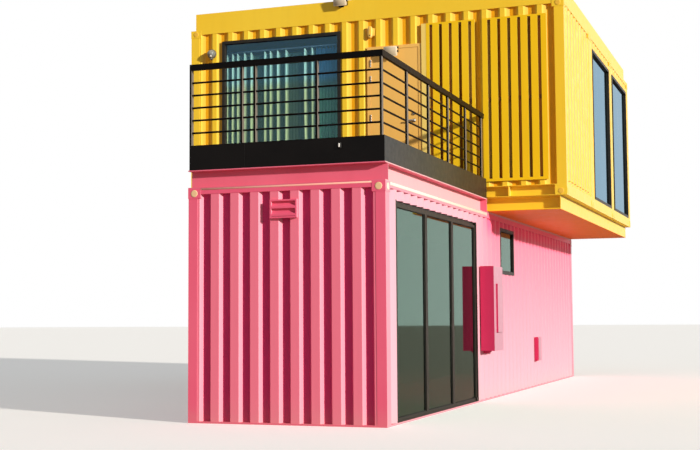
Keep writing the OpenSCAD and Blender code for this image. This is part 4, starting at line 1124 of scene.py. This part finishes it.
class CABIN_OT_deck(bpy.types.Operator):
    """Lay the terrace's planks"""

    bl_idname = "cabin.deck"
    bl_label = "Lay the Deck"

    def execute(self, context):
        deck_planks()
        return {"FINISHED"}


class CABIN_OT_windows(bpy.types.Operator):
    """Add the gaskets and curtains"""

    bl_idname = "cabin.windows"
    bl_label = "Dress the Windows"

    def execute(self, context):
        pane_gaskets()
        curtains()
        return {"FINISHED"}


class CABIN_OT_lamps(bpy.types.Operator):
    """Hang the lamps and the small fittings"""

    bl_idname = "cabin.lamps"
    bl_label = "Hang the Lamps"

    def execute(self, context):
        opal = lamp_plastic("opal_lens", "#FBFBF8", 0.2)
        flood_lamps()
        fascia_fitting(opal)
        wall_lamp(opal)
        oval_fixture()
        return {"FINISHED"}


class CABIN_OT_covers(bpy.types.Operator):
    """Cover the castings' holes and lay the pale strips along the rails"""

    bl_idname = "cabin.covers"
    bl_label = "Fit the Covers"

    def execute(self, context):
        casting_covers()
        rail_pale_strips()
        return {"FINISHED"}


class CABIN_OT_hardware(bpy.types.Operator):
    """Fit the upper door's hinges, lever and lock"""

    bl_idname = "cabin.hardware"
    bl_label = "Fit the Door Hardware"

    def execute(self, context):
        door_hardware()
        return {"FINISHED"}


class CABIN_OT_stage(bpy.types.Operator):
    """Add the floor, the lights and the camera"""

    bl_idname = "cabin.stage"
    bl_label = "Set the Stage"

    def execute(self, context):
        add_floor()
        add_lights()
        add_camera()
        context.scene.view_settings.view_transform = "Standard"
        return {"FINISHED"}


class CABIN_PT_panel(bpy.types.Panel):
    """Sidebar panel with the sizes, the colours and the steps"""

    bl_label = "Container Cabin"
    bl_idname = "CABIN_PT_panel"
    bl_space_type = "VIEW_3D"
    bl_region_type = "UI"
    bl_category = "Cabin"

    def draw(self, context):
        column = self.layout.column()
        for name in CabinSettings.__annotations__:
            column.prop(context.scene.cabin, name)
        for step in STEPS:
            column.operator(step.bl_idname)


STEPS = (
    CABIN_OT_paint,
    CABIN_OT_deck,
    CABIN_OT_windows,
    CABIN_OT_lamps,
    CABIN_OT_covers,
    CABIN_OT_hardware,
    CABIN_OT_stage,
)
CLASSES = (CabinSettings, *STEPS, CABIN_PT_panel)


def register():
    for item in CLASSES:
        bpy.utils.register_class(item)
    bpy.types.Scene.cabin = PointerProperty(type=CabinSettings)


def unregister():
    del bpy.types.Scene.cabin
    for item in reversed(CLASSES):
        bpy.utils.unregister_class(item)


def main():
    """Builds the whole scene."""
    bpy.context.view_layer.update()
    register()
    bpy.ops.cabin.paint()
    bpy.ops.cabin.deck()
    bpy.ops.cabin.windows()
    bpy.ops.cabin.lamps()
    bpy.ops.cabin.covers()
    bpy.ops.cabin.hardware()
    bpy.ops.cabin.stage()


if __name__ == "__main__":
    main()
